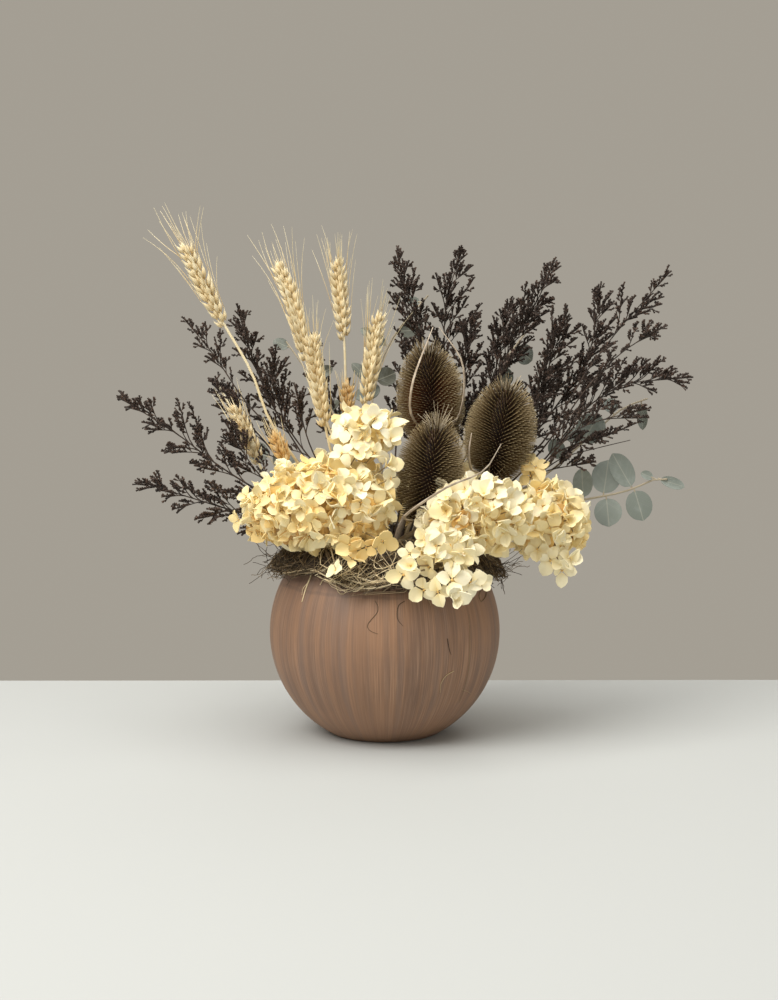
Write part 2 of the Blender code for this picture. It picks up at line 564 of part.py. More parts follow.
def stem_holes(foam, cutters):
    """A blind hole in the foam for each stem, a gap wider and a gap deeper than the stem."""
    kinds = ((WHEAT, WHEAT_STEM, STALK_ROUNDNESS), (PLUMES, PLUME_STEM, STALK_ROUNDNESS),
             (TEASELS, TEASEL_STEM, TEASEL_ROUNDNESS), (HYDRANGEAS, HYDRANGEA_STEM, STALK_ROUNDNESS),
             (EUCALYPTUS, EUCALYPTUS_STEM, STALK_ROUNDNESS))
    stems = [(entry[0], radius, roundness) for table, radius, roundness in kinds for entry in table.values()]
    for i, (leaves_foam, radius, roundness) in enumerate(stems):
        low, exit_place = foam_stretch(leaves_foam)
        slope = (exit_place - low).normalized()
        ends = (low - slope * GAP, exit_place)
        hole = tube(f"stem_hole_{i + 1}", ends, [radius + GAP] * 2, roundness, cutters)
        combine(foam, as_mesh(hole, cutters), "DIFFERENCE")


def build():
    clear_scene()
    pieces = new_collection("vase_of_dried_flowers")
    cutters = new_collection("cutters")
    vase(finish("brushed terracotta", TERRACOTTA, 0.62), pieces)
    foam = foam_block(finish("dry foam", FOAM_GREY, 0.95), pieces)
    stem_holes(foam, cutters)
    collar(finish("wood wool", WOOD_WOOL, 0.85), pieces, cutters)
    straw = finish("wheat straw", STRAW, 0.6)
    dark = finish("dark limonium", DARK_BROWN, 0.8)
    spiny = finish("teasel", TEASEL_BROWN, 0.7)
    petals = finish("cream petals", CREAM, 0.6)
    grey_leaf = finish("grey green leaf", GREY_GREEN, 0.6)
    for name, entry in WHEAT.items():
        stalk(name, entry, WHEAT_STEM, EAR_SHAPE, STALK_ROUNDNESS, pieces).data.materials.append(straw)
    for name, entry in PLUMES.items():
        stalk(name, entry, PLUME_STEM, PLUME_SHAPE, STALK_ROUNDNESS, pieces).data.materials.append(dark)
    for name in TEASELS:
        teasel(name, pieces, cutters).data.materials.append(spiny)
    for name in HYDRANGEAS:
        hydrangea(name, pieces, cutters).data.materials.append(petals)
    for name in EUCALYPTUS:
        eucalyptus(name, pieces, cutters).data.materials.append(grey_leaf)
    for cutter in cutters.objects:
        cutter.hide_render = True
        cutter.display_type = "WIRE"


build()
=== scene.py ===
# %% [markdown]
# # A vase of dried flowers
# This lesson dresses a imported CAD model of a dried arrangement: a round brown vase, a collar of
# wood wool, and wheat, teasels, hydrangeas, dark limonium sprays and eucalyptus standing in foam.
# The CAD model is the fixed frame. It says where each stem leaves the foam and where it goes, so
# every piece made here follows the same routes and stands for the CAD piece of the same name.
# Lengths are in metres. -Y is the front, +Z is up, and the origin is the middle of the vase's foot.

# %% Load the frame
import math

import bmesh
import bpy
import numpy as np
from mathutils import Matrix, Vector


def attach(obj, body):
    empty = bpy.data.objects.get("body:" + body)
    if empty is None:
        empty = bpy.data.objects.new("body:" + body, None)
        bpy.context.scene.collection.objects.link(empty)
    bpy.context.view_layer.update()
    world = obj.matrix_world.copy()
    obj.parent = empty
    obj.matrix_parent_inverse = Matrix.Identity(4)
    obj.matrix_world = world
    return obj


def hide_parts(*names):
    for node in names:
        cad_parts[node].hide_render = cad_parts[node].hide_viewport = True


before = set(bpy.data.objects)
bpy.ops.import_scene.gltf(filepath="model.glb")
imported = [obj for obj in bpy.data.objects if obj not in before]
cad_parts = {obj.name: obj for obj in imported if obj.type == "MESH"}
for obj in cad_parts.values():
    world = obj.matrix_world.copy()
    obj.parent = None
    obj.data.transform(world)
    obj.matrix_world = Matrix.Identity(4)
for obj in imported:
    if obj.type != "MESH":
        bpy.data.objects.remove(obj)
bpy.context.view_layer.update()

# %% [markdown]
# ## The camera
# The photograph was taken a little above the flowers with a longish lens. The numbers come from
# fitting the perspective of the flat surface that the vase stands on. They are set first, so that
# each piece can be judged through the same view as it is made.

# %% Camera
CAMERA_PLACE = (-0.00343, -1.34881, 0.31697)
CAMERA_DOWN = math.radians(5.661)
CAMERA_TURN = math.radians(-0.287)
CAMERA_LENS = 62.29

camera_data = bpy.data.cameras.new("camera")
camera_data.lens = CAMERA_LENS
camera_data.sensor_width = 36.0
camera = bpy.data.objects.new("camera", camera_data)
camera.location = CAMERA_PLACE
camera.rotation_euler = (math.pi / 2 - CAMERA_DOWN, 0.0, CAMERA_TURN)
bpy.context.scene.collection.objects.link(camera)
bpy.context.scene.camera = camera
print("camera", CAMERA_LENS, "mm lens")

# %% [markdown]
# ## Helpers for working by hand
# An operator acts on everything that is selected, so each piece starts with nothing selected.
# Corners are then picked by their place, the way one would box-select them in the viewport.


# %% Picking things up and putting them down
def put_down():
    """Leave edit mode and select nothing."""
    if bpy.context.object and bpy.context.object.mode != "OBJECT":
        bpy.ops.object.mode_set(mode="OBJECT")
    bpy.ops.object.select_all(action="DESELECT")


def pick_up(piece):
    put_down()
    bpy.context.view_layer.objects.active = piece
    piece.select_set(True)


def edit(piece):
    pick_up(piece)
    bpy.ops.object.mode_set(mode="EDIT")
    bpy.ops.mesh.select_all(action="SELECT")


def choose(piece, test):
    """In edit mode, select just the corners whose place passes the test."""
    bpy.ops.mesh.select_mode(type="VERT")
    bpy.ops.mesh.select_all(action="DESELECT")
    shape = bmesh.from_edit_mesh(piece.data)
    for corner in shape.verts:
        corner.select = test(corner.co)
    shape.select_flush(True)
    bmesh.update_edit_mesh(piece.data)


def finish_with(piece, kind, **settings):
    """Add a modifier and apply it."""
    pick_up(piece)
    modifier = piece.modifiers.new(kind.lower(), kind)
    for name, value in settings.items():
        setattr(modifier, name, value)
    bpy.ops.object.modifier_apply(modifier=modifier.name)


def put_away(piece):
    """A modelled shape as plain arrays: its corners, its faces' corners and its faces' sizes."""
    put_down()
    mesh = piece.data
    corners = np.array([corner.co for corner in mesh.vertices])
    loops = np.concatenate([np.array(face.vertices) for face in mesh.polygons])
    sizes = np.array([len(face.vertices) for face in mesh.polygons])
    bpy.data.objects.remove(piece, do_unlink=True)
    return corners, loops, sizes


# %% [markdown]
# ## Copying a shape many times
# A hydrangea has hundreds of petals and a limonium spray hundreds of tiny cups. Each is modelled
# once, and a Bunch collects its copies into one mesh. The copies carry a colour attribute called
# growth. Its red is a shade of the copy's own, its green runs from the copy's foot to its tip, and
# its blue says what kind of thing it is, so that one material can colour the whole piece. A second
# attribute, local, keeps the place on one petal or leaf, for the veins.


# %% The bunch
class Bunch:
    """Copies of modelled shapes, gathered to become one piece."""

    def __init__(self):
        self.corners, self.loops, self.sizes, self.growth, self.local = [], [], [], [], []
        self.count = 0

    def add(self, places, loops, sizes, shade, along, kind, local=None):
        """places is copies x corners x 3; shade, along and kind are spread to copies x corners."""
        copies, corners = places.shape[:2]
        starts = self.count + np.arange(copies)[:, None] * corners
        self.loops.append((starts + loops[None, :]).ravel())
        self.sizes.append(np.tile(sizes, copies))
        self.corners.append(places.reshape(-1, 3))
        marks = np.ones((copies, corners, 4))
        marks[..., 0] = shade
        marks[..., 1] = along
        marks[..., 2] = kind
        self.growth.append(marks.reshape(-1, 4))
        local = np.zeros(3) if local is None else local
        self.local.append(np.broadcast_to(local, (copies, corners, 3)).reshape(-1, 3))
        self.count += copies * corners

    def piece(self, name):
        """Everything collected, as one object at the origin."""
        mesh = bpy.data.meshes.new(name)
        loops, sizes = np.concatenate(self.loops), np.concatenate(self.sizes)
        mesh.vertices.add(self.count)
        mesh.vertices.foreach_set("co", np.concatenate(self.corners).ravel().astype(np.float32))
        mesh.loops.add(len(loops))
        mesh.loops.foreach_set("vertex_index", loops.astype(np.int32))
        mesh.polygons.add(len(sizes))
        mesh.polygons.foreach_set("loop_start", (np.cumsum(sizes) - sizes).astype(np.int32))
        mesh.update(calc_edges=True)
        growth = mesh.attributes.new("growth", "FLOAT_COLOR", "POINT")
        growth.data.foreach_set("color", np.concatenate(self.growth).ravel().astype(np.float32))
        local = mesh.attributes.new("local", "FLOAT_VECTOR", "POINT")
        local.data.foreach_set("vector", np.concatenate(self.local).ravel().astype(np.float32))
        made = bpy.data.objects.new(name, mesh)
        bpy.context.scene.collection.objects.link(made)
        return made


def unit(vectors):
    return vectors / np.maximum(np.linalg.norm(vectors, axis=-1, keepdims=True), 1e-12)


def square_to(ways):
    """Two directions square to each way and to each other."""
    helper = np.where(np.abs(ways[:, 2:3]) > 0.9, np.array([[1.0, 0, 0]]), np.array([[0, 0, 1.0]]))
    across = unit(np.cross(helper, ways))
    return across, np.cross(ways, across)


def scatter(bunch, shape, places, ups, sizes, shade, kind, turn=None):
    """Copies of a shape that grows along its own +Z, one at each place, pointing along its up."""
    corners, loops, face_sizes = shape
    ups = unit(np.asarray(ups, float))
    across, deep = square_to(ups)
    if turn is not None:
        turned = across * np.cos(turn)[:, None] + deep * np.sin(turn)[:, None]
        deep = np.cross(ups, turned)
        across = turned
    sizes = np.asarray(sizes, float)
    if sizes.ndim == 1:
        sizes = np.repeat(sizes[:, None], 3, axis=1)
    local = corners[None] * sizes[:, None]
    spread = (local[..., 0:1] * across[:, None] + local[..., 1:2] * deep[:, None]
              + local[..., 2:3] * ups[:, None])
    height = corners[:, 2]
    along = (height - height.min()) / (height.max() - height.min())
    bunch.add(np.asarray(places, float)[:, None] + spread, loops, face_sizes,
              np.asarray(shade)[:, None], along[None], kind)


# %% [markdown]
# ## Stems and strands
# Stems, awns, bristles and wood wool are all thin round things that follow a route. One straight
# rod is modelled for each number of rings: a cylinder whose long edges are subdivided. Each copy is
# then laid along its own route, as a Curve modifier would do it, with a thickness at each ring.


# %% The rod and how it is laid along a route
RODS = {}


def rod(sides, rings):
    if (sides, rings) not in RODS:
        put_down()
        bpy.ops.mesh.primitive_cylinder_add(vertices=sides, radius=1.0, depth=1.0, location=(0, 0, 0.5))
        made = bpy.context.object
        bpy.ops.object.transform_apply(location=True)
        edit(made)
        if rings > 2:
            bpy.ops.mesh.select_mode(type="EDGE")
            bpy.ops.mesh.select_all(action="DESELECT")
            shape = bmesh.from_edit_mesh(made.data)
            for side in shape.edges:
                side.select = abs(side.verts[0].co.z - side.verts[1].co.z) > 0.5
            bmesh.update_edit_mesh(made.data)
            bpy.ops.mesh.subdivide(number_cuts=rings - 2)
        RODS[sides, rings] = put_away(made)
    return RODS[sides, rings]


def lay_rods(bunch, routes, radii, sides, shade, kind, flat=1.0):
    """Copies of the rod along routes (copies x rings x 3), radii thick at each ring."""
    routes, radii = np.asarray(routes, float), np.asarray(radii, float)
    copies, rings = routes.shape[:2]
    corners, loops, face_sizes = rod(sides, rings)
    ring = np.rint(corners[:, 2] * (rings - 1)).astype(int)
    ahead = unit(np.gradient(routes, axis=1))
    side = np.empty_like(routes)
    side[:, 0] = square_to(ahead[:, 0])[0]
    for i in range(1, rings):
        carried = side[:, i - 1]
        side[:, i] = unit(carried - ahead[:, i] * np.sum(carried * ahead[:, i], axis=-1, keepdims=True))
    other = np.cross(ahead, side)
    thick = np.broadcast_to(radii, (copies, rings))[:, ring, None]
    places = (routes[:, ring] + side[:, ring] * corners[None, :, 0:1] * thick
              + other[:, ring] * corners[None, :, 1:2] * thick * flat)
    shade = np.broadcast_to(np.asarray(shade, float).reshape(-1, 1), (copies, 1))
    bunch.add(places, loops, face_sizes, shade, corners[None, :, 2], kind)


# %% [markdown]
# ## The routes of the stems
# These are the CAD model's own functions and places. A stem is straight in the foam, where it
# points away from one place below, and then passes smoothly through its places up to its tip.
# The tables of places further on are in millimetres, because those are easier to read.

# %% The CAD model's measures and routes
BALL_RADIUS = 0.0905
BALL_CENTRE_Z = 0.080
WALL = 0.0055
MOUTH_ANGLE = math.radians(46)
FOAM_TOP = 0.150
FAN_DEPTH = 0.100
STEM_DEPTH = 0.030
STEM_RISE = 0.004
VIEW_AXIS = np.array([0.0, 1.0, 0.0])


def metres(table):
    if isinstance(table, (int, float)):
        return table / 1000
    return tuple(metres(entry) for entry in table)


def smooth_route(points, steps=16):
    """One smooth curve from the second point to the last; the first only sets how it sets off."""
    places = [Vector(p) for p in points]
    places.append(places[-1] * 2 - places[-2])
    curve = [places[1]]
    for before, start, end, after in zip(places, places[1:], places[2:], places[3:]):
        leave = (end - before) * 0.5 * min(1.0, (end - start).length / max((start - before).length, 1e-6))
        arrive = (after - start) * 0.5 * min(1.0, (end - start).length / max((after - end).length, 1e-6))
        for i in range(1, steps + 1):
            t = i / steps
            curve.append(start * (2 * t ** 3 - 3 * t ** 2 + 1) + leave * (t ** 3 - 2 * t ** 2 + t)
                         + end * (3 * t ** 2 - 2 * t ** 3) + arrive * (t ** 3 - t ** 2))
    return curve


def foam_stretch(leaves_foam):
    """The straight stretch in the foam: the stem's lower end and the place just above the foam."""
    exit_place = Vector((*leaves_foam, FOAM_TOP + STEM_RISE))
    fan = Vector((0, 0, FOAM_TOP - FAN_DEPTH))
    slope = (exit_place - fan).normalized()
    return exit_place - slope * (STEM_DEPTH + STEM_RISE) / slope.z, exit_place


class Route:
    """A curve that can be asked for its place and direction at any distance along it."""

    def __init__(self, points):
        self.points = np.array([tuple(p) for p in points])
        steps = np.linalg.norm(np.diff(self.points, axis=0), axis=1)
        self.reach = np.concatenate([[0.0], np.cumsum(steps)])
        self.length = self.reach[-1]

    def at(self, distance):
        return np.stack([np.interp(distance, self.reach, self.points[:, i]) for i in range(3)], axis=-1)

    def ahead(self, distance):
        step = self.length * 0.01
        after, before = np.minimum(distance + step, self.length), np.maximum(distance - step, 0.0)
        return unit(self.at(after) - self.at(before))

    def spaced(self, count):
        """Places evenly spaced from its start to its end."""
        return self.at(self.length * np.linspace(0, 1, count))


def sides_of(ahead):
    """For something that grows ahead: the way to its side and the way to its front or back."""
    across = unit(np.cross(ahead, VIEW_AXIS))
    return across, np.cross(across, ahead)


def round_about(ahead, around):
    """The way out from a stem, at an angle round it."""
    across, deep = sides_of(ahead)
    around = np.asarray(around)[..., None]
    return across * np.cos(around) + deep * np.sin(around)


def stem_route(leaves_foam, places):
    """From the stem's end in the foam to its tip."""
    low, exit_place = foam_stretch(leaves_foam)
    return Route([low, *smooth_route([low, exit_place, *places])])


def lay_stem(bunch, route, start, end, foot_radius, tip_radius, shade, kind, sides=7, rings=22):
    """One stem along a stretch of its route."""
    distances = np.linspace(start, end, rings)
    radii = np.linspace(foot_radius, tip_radius, rings)
    lay_rods(bunch, route.at(distances)[None], radii[None], sides, [shade], kind)


# %% [markdown]
# ## Shader maths as sums
# A material is a graph of nodes, but much of it is plain arithmetic on masks and noise. The class
# below wraps one socket, so that `mask * 0.4 + 0.1` adds the Math nodes. Colours go through Mix.


# %% The shader wire
class Wire:
    """One output in a material, with arithmetic."""

    def __init__(self, tree, socket):
        self.tree, self.socket = tree, socket

    def node(self, kind, settings, values, output=0):
        """Any node: its settings first, then the values or links of its sockets."""
        node = self.tree.nodes.new(kind)
        for name, value in settings.items():
            if name == "stops":
                ramp = node.color_ramp.elements
                while len(ramp) > 1:
                    ramp.remove(ramp[-1])
                ramp[0].position, ramp[0].color = value[0][0], (*value[0][1], 1.0)
                for place, colour in value[1:]:
                    ramp.new(place).color = (*colour, 1.0)
            else:
                setattr(node, name, value)
        for name, value in values.items():
            if isinstance(value, Wire):
                self.tree.links.new(value.socket, node.inputs[name])
            else:
                node.inputs[name].default_value = value
        return Wire(self.tree, node.outputs[output])

    def sum_with(self, operation, first, second):
        return self.node("ShaderNodeMath", {"operation": operation}, {0: first, 1: second})

    def __add__(self, other):
        return self.sum_with("ADD", self, other)

    def __radd__(self, other):
        return self.sum_with("ADD", other, self)

    def __sub__(self, other):
        return self.sum_with("SUBTRACT", self, other)

    def __rsub__(self, other):
        return self.sum_with("SUBTRACT", other, self)

    def __mul__(self, other):
        return self.sum_with("MULTIPLY", self, other)

    def __rmul__(self, other):
        return self.sum_with("MULTIPLY", other, self)

    def __truediv__(self, other):
        return self.sum_with("DIVIDE", self, other)

    def __pow__(self, other):
        return self.sum_with("POWER", self, other)

    def between(self, low, high):
        """0 below low, 1 above high, and a smooth step between."""
        return self.node("ShaderNodeMapRange", {"interpolation_type": "SMOOTHSTEP"},
                         {"Value": self, "From Min": low, "From Max": high})

    def ramp(self, *stops):
        return self.node("ShaderNodeValToRGB", {"stops": stops}, {"Fac": self})

    def mix(self, first, second):
        """From the first colour to the second, by this wire."""
        first, second = ((*c, 1.0) if isinstance(c, tuple) else c for c in (first, second))
        return self.node("ShaderNodeMix", {"data_type": "RGBA"}, {0: self, 6: first, 7: second}, output=2)

    def parts(self):
        """A colour's or vector's three numbers."""
        return [self.node("ShaderNodeSeparateXYZ", {}, {"Vector": self}, output=i) for i in range(3)]

    def noise(self, scale, detail=3.0, roughness=0.55, stretch=(1.0, 1.0, 1.0)):
        """Noise on this vector, the pattern squeezed by the stretch along each axis."""
        squeezed = self.node("ShaderNodeVectorMath", {"operation": "MULTIPLY"}, {0: self, 1: stretch})
        return self.node("ShaderNodeTexNoise", {}, {"Vector": squeezed, "Scale": scale, "Detail": detail,
                                                    "Roughness": roughness})


def new_material(name):
    """An empty material, with a wire to its Object coordinates and one to its shader."""
    material = bpy.data.materials.new(name)
    material.use_nodes = True
    tree = material.node_tree
    shader = tree.nodes["Principled BSDF"]
    start = Wire(tree, shader.outputs[0])
    place = start.node("ShaderNodeTexCoord", {}, {}, output=3)
    return material, shader, place


def connect(shader, colour, roughness, bump, bump_strength, bump_depth):
    """The colour, the roughness, which is a number or a wire, and the fine relief."""
    tree = shader.id_data
    tree.links.new(colour.socket, shader.inputs["Base Color"])
    if isinstance(roughness, Wire):
        tree.links.new(roughness.socket, shader.inputs["Roughness"])
    else:
        shader.inputs["Roughness"].default_value = roughness
    raised = bump.node("ShaderNodeBump", {},
                       {"Strength": bump_strength, "Distance": bump_depth, "Height": bump})
    tree.links.new(raised.socket, shader.inputs["Normal"])


def growth_of(place):
    """The three numbers of the growth attribute: the copy's shade, along it, and its kind."""
    return place.node("ShaderNodeAttribute", {"attribute_name": "growth"}, {}, output=0).parts()


def spot_of(place):
    """The attribute called local, and its three numbers."""
    spot = place.node("ShaderNodeAttribute", {"attribute_name": "local"}, {}, output=1)
    return spot, spot.parts()


def by_kind(kind, first, second, third):
    """One colour for each kind of thing in a piece, whose marks are 0, a half and 1."""
    return kind.between(0.70, 0.80).mix(kind.between(0.20, 0.30).mix(first, second), third)


# %% [markdown]
# ## What is the same for every piece
# A finished piece gets its smooth shading, its material and its place in the frame: the CAD piece
# that it stands for is hidden, and the piece rides on the body called root.


# %% Hand a piece over to the frame
SHARP_EDGE = math.radians(50)
made_triangles = {}


def hand_over(piece, node, material):
    piece.data.materials.clear()
    piece.data.materials.append(material)
    pick_up(piece)
    bpy.ops.object.shade_smooth_by_angle(angle=SHARP_EDGE)
    put_down()
    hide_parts(node)
    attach(piece, "root")
    made_triangles[piece.name] = sum(len(face.vertices) - 2 for face in piece.data.polygons)
    print(piece.name, made_triangles[piece.name], "triangles")


# %% [markdown]
# ## The vase
# The vase is a ball of fired clay, cut flat at the foot and open at the mouth. It could be a turned
# profile, but a sphere with two cuts says the same thing more plainly: bisect off the foot and
# fill it, bisect off the mouth and leave it open, give the skin its wall, and round the edges.

# %% Cut the vase from a ball
put_down()
bpy.ops.mesh.primitive_uv_sphere_add(segments=144, ring_count=72, radius=BALL_RADIUS,
                                     location=(0, 0, BALL_CENTRE_Z))
vase_shell = bpy.context.object
vase_shell.name = "vase_shell"
bpy.ops.object.transform_apply(location=True)
edit(vase_shell)
bpy.ops.mesh.bisect(plane_co=(0, 0, 0), plane_no=(0, 0, 1), clear_inner=True, use_fill=True)
bpy.ops.mesh.select_all(action="SELECT")
rim_height = BALL_CENTRE_Z + BALL_RADIUS * math.cos(MOUTH_ANGLE)
bpy.ops.mesh.bisect(plane_co=(0, 0, rim_height), plane_no=(0, 0, 1), clear_outer=True)
finish_with(vase_shell, "SOLIDIFY", thickness=WALL, offset=-1.0, use_even_offset=True)
finish_with(vase_shell, "BEVEL", width=0.0020, segments=3, limit_method="ANGLE", angle_limit=math.radians(18))
print("vase", len(vase_shell.data.polygons), "faces, mouth at", round(rim_height, 4))

# %% [markdown]
# The finish looks like brushed wood: fine upright streaks that follow the meridians and close up
# towards the foot, in tan, rose brown and grey violet. The streaks are noise read on the direction
# round the vase, which has no seam, and stretched along its height. Four greyer bands run down the
# front. The rim is darker with the painted shadow of the collar, and a painted shadow line runs
# across its front. The foot is a little lighter with painted bounce light from the floor.

# %% Brushed brown finish
# For each band: where it is, from -1 at the left to 1 at the right, half its width and its strength
BANDS = ((-0.700, 0.035, 0.30), (-0.354, 0.040, 0.38), (0.134, 0.034, 0.32), (0.440, 0.038, 0.34))
# Heights of the painted shadow of the collar on the rim, and of the painted shadow line across the front
COLLAR_SHADOW_FROM, SHADOW_LINE_HEIGHT, COLLAR_SHADOW_TO = 0.1195, 0.1220, 0.1275
SHADOW_LINE_HALF_WIDTH = 0.0016
# Heights over which painted bounce light from the floor lightens the foot
BOUNCE_LIGHT_FROM, BOUNCE_LIGHT_TO = 0.050, 0.006

clay, clay_shader, place = new_material("brushed_brown_clay")
x, y, z = place.parts()
round_length = (x * x + y * y) ** 0.5 + 0.0001
direction = place.node("ShaderNodeCombineXYZ", {}, {0: x / round_length, 1: y / round_length, 2: z})
fine = direction.noise(58.0, 2.0, 0.5, (1.0, 1.0, 0.26))
finer = direction.noise(140.0, 2.0, 0.5, (1.0, 1.0, 0.20))
streaks = direction.noise(19.0, 2.0, 0.5, (1.0, 1.0, 0.30))
bands = direction.noise(3.4, 2.0, 0.5, (1.0, 1.0, 0.8))
slate = direction.noise(9.5, 1.0, 0.4, (1.0, 1.0, 0.40))
clouds = place.noise(24.0, 3.0, 0.6)
worn = place.noise(13.0, 2.0, 0.5).between(0.40, 0.62)
wood = bands.between(0.36, 0.66).mix((0.232, 0.128, 0.075), (0.315, 0.172, 0.096))
wood = (streaks.between(0.46, 0.68) * 0.55).mix(wood, (0.172, 0.104, 0.072))
wood = (slate.between(0.60, 0.72) * 0.28).mix(wood, (0.186, 0.130, 0.108))
wood = (fine.between(0.50, 0.66) * (worn * 0.22 + 0.16)).mix(wood, (0.136, 0.080, 0.054))
wood = (fine.between(0.48, 0.30) * (worn * 0.24 + 0.08)).mix(wood, (0.400, 0.240, 0.146))
wood = (finer.between(0.53, 0.66) * (worn * 0.26 + 0.14)).mix(wood, (0.430, 0.275, 0.180))
wood = (finer.between(0.47, 0.34) * (worn * 0.22 + 0.16)).mix(wood, (0.124, 0.074, 0.050))
wood = (clouds.between(0.46, 0.70) * 0.22).mix(wood, (0.150, 0.098, 0.076))
wander = place.noise(30.0, 2.0, 0.5) * 0.07 - 0.035
in_front = y.between(0.0, -0.03)
for across, half_width, strength in BANDS:
    off = x / round_length - across + wander
    wood = ((off * off).between(half_width ** 2, 0.0) * in_front * strength).mix(wood, (0.146, 0.108, 0.094))
# Painted shadow: the collar's shade darkens the rim, and a painted shadow line runs across the front
edge = z + direction.noise(3.0, 2.0, 0.5) * 0.006
wood = (edge.between(COLLAR_SHADOW_FROM, COLLAR_SHADOW_TO) * 0.50).mix(wood, (0.190, 0.120, 0.090))
off_shadow_line = edge - SHADOW_LINE_HEIGHT
painted_shadow_line = (off_shadow_line * off_shadow_line).between(SHADOW_LINE_HALF_WIDTH ** 2, 0.0) * in_front
wood = (painted_shadow_line * 0.28).mix(wood, (0.090, 0.060, 0.048))
# Painted bounce light from the floor lightens the foot
wood = (z.between(BOUNCE_LIGHT_FROM, BOUNCE_LIGHT_TO) * 0.40).mix(wood, (0.375, 0.215, 0.130))
connect(clay_shader, wood, 0.48 + fine * 0.18, fine * 0.6 + finer * 0.5 + streaks * 0.3, 0.16, 0.0003)
hand_over(vase_shell, "vase", clay)

# %% [markdown]
# ## The foam
# The block of dry foam is a plain shape that the CAD model already has, holes for the stems
# included, so the CAD piece stays and only gets its finish: dark, dull and full of fine pores.

# %% Dry foam
foam, foam_shader, place = new_material("dry_foam")
pores = place.noise(900.0, 2.0, 0.6)
lumps = place.noise(70.0, 3.0, 0.6)
foam_colour = pores.between(0.35, 0.70).mix((0.030, 0.022, 0.016), (0.110, 0.085, 0.060))
foam_colour = (lumps * 0.5).mix(foam_colour, (0.060, 0.045, 0.030))
connect(foam_shader, foam_colour, 0.95, pores, 0.6, 0.0006)
foam_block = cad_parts["foam_block"]
foam_block.data.materials.clear()
foam_block.data.materials.append(foam)
print("foam keeps its CAD shape,", len(foam_block.data.polygons), "faces")

# %% [markdown]
# ## The wood wool collar
# A ring of dark wood wool and moss hides the foam and hangs over the rim. A copy of the CAD ring,
# made lumpy, is the dark bed. Over it lie well over a thousand curly strands. They are laid in the
# ring's own directions: round the vase, down over its rim, and out from it.

# %% The bed of the collar
rng = np.random.default_rng(21)
put_down()
collar_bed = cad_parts["wood_wool_collar"].copy()
collar_bed.data = collar_bed.data.copy()
collar_bed.name = "collar_bed"
collar_bed.parent = None
bpy.context.scene.collection.objects.link(collar_bed)
edit(collar_bed)
bpy.ops.mesh.remove_doubles(threshold=0.00002)
bpy.ops.mesh.subdivide(number_cuts=1)
bpy.ops.object.mode_set(mode="OBJECT")
lumpy = bpy.data.textures.new("collar_lumps", "CLOUDS")
lumpy.noise_scale = 0.009
finish_with(collar_bed, "DISPLACE", texture=lumpy, strength=0.0045, mid_level=0.65, texture_coords="LOCAL")
bed_shape = put_away(collar_bed)
wool = Bunch()
wool.add(bed_shape[0][None], bed_shape[1], bed_shape[2], 0.05, 0.5, 0.0)
print("collar bed", len(bed_shape[2]), "faces")


# %% Strands of wood wool
# The hem's height from left to right, in millimetres
HEM = ((-95, 129), (-79, 132), (-68, 135.5), (-56, 138.5), (-38, 132.5), (-24, 126.5), (-10, 128), (2, 130),
       (30, 128.5), (95, 126.5))
HEM_X, HEM_Z = np.array(metres(HEM)).T
HEM_STRAY = 0.030
RING_TOP = 0.1475
RING_INSIDE = math.radians(33)
# How far out from the vase's middle the strands lie, to turn their length into an angle
STRAND_REACH = 0.085
LEAST_LIFT = 0.0008


def over_rim(turn, angle, height):
    """A place over the rim: turned round the vase, an angle from straight up, above the ball.
    Inside the mouth the ring's top is nearly level, so the ball is swapped for that level."""
    radius = BALL_RADIUS + height
    out = radius * np.sin(angle)
    up = BALL_CENTRE_Z + radius * np.cos(angle)
    up = np.minimum(up, RING_TOP + height * 0.75)
    return np.stack([out * np.sin(turn), -out * np.cos(turn), up], axis=-1)


def hem_angle(turn, height):
    """How far from straight up the collar reaches: its hem is higher towards the left."""
    radius = BALL_RADIUS + height
    hem = np.interp(radius * 0.9 * np.sin(turn), HEM_X, HEM_Z)
    return np.arccos(np.clip((hem - BALL_CENTRE_Z) / radius, -1.0, 1.0))


def curly_strands(count, low, high, height, length, curl, radius, shade, rings=14, middle=0.0, spread=math.pi,
                  lowest=0.15):
    """Wavy strands over the rim, between two angles from straight up, in degrees."""
    low, high = math.radians(low), math.radians(high)
    stray = rng.normal(0.0, HEM_STRAY, (count, 1))
    t = np.linspace(0.0, 1.0, rings)[None]
    one = (count, 1)
    turn = rng.uniform(-spread, spread, one) + middle
    heading = rng.choice([-1.0, 1.0], one) * length * rng.uniform(0.4, 1.3, one) / STRAND_REACH
    slant = rng.normal(0.0, 0.35, one) * length / STRAND_REACH
    waves = rng.uniform(0.6, 2.6, one)
    swing = curl * rng.uniform(0.3, 1.2, one)
    phase = rng.uniform(0, 2 * math.pi, (2,) + one)
    wave = waves * t * 2 * math.pi
    angle = rng.uniform(low, high, one) + slant * (t - 0.5) + swing * np.sin(wave + phase[0])
    turn = turn + heading * (t - 0.5) + swing * np.cos(wave + phase[1])
    lift = height * rng.uniform(lowest, 1.0, one)
    lift = lift + height * 0.35 * np.sin(t * 2 * math.pi * rng.uniform(0.5, 2.0, one) + phase[1])
    lift = np.maximum(lift, LEAST_LIFT)
    angle = np.clip(angle, RING_INSIDE, np.minimum(high + 0.06, hem_angle(turn, lift) + stray))
    routes = over_rim(turn, angle, lift)
    thick = radius * rng.uniform(0.6, 1.3, one) * (1.0 - 0.75 * np.abs(2 * t - 1) ** 4)
    shades = np.clip(rng.normal(shade, 0.10, count), 0.0, 1.0)
    lay_rods(wool, routes, thick, 3, shades, 1.0, flat=0.55)


curly_strands(520, 35, 64, 0.0085, 0.036, 0.12, 0.00044, 0.14)
curly_strands(230, 36, 63, 0.0100, 0.032, 0.15, 0.00042, 0.36)
curly_strands(90, 38, 63, 0.0110, 0.030, 0.20, 0.00040, 0.56)
print("strands so far", wool.count, "corners")
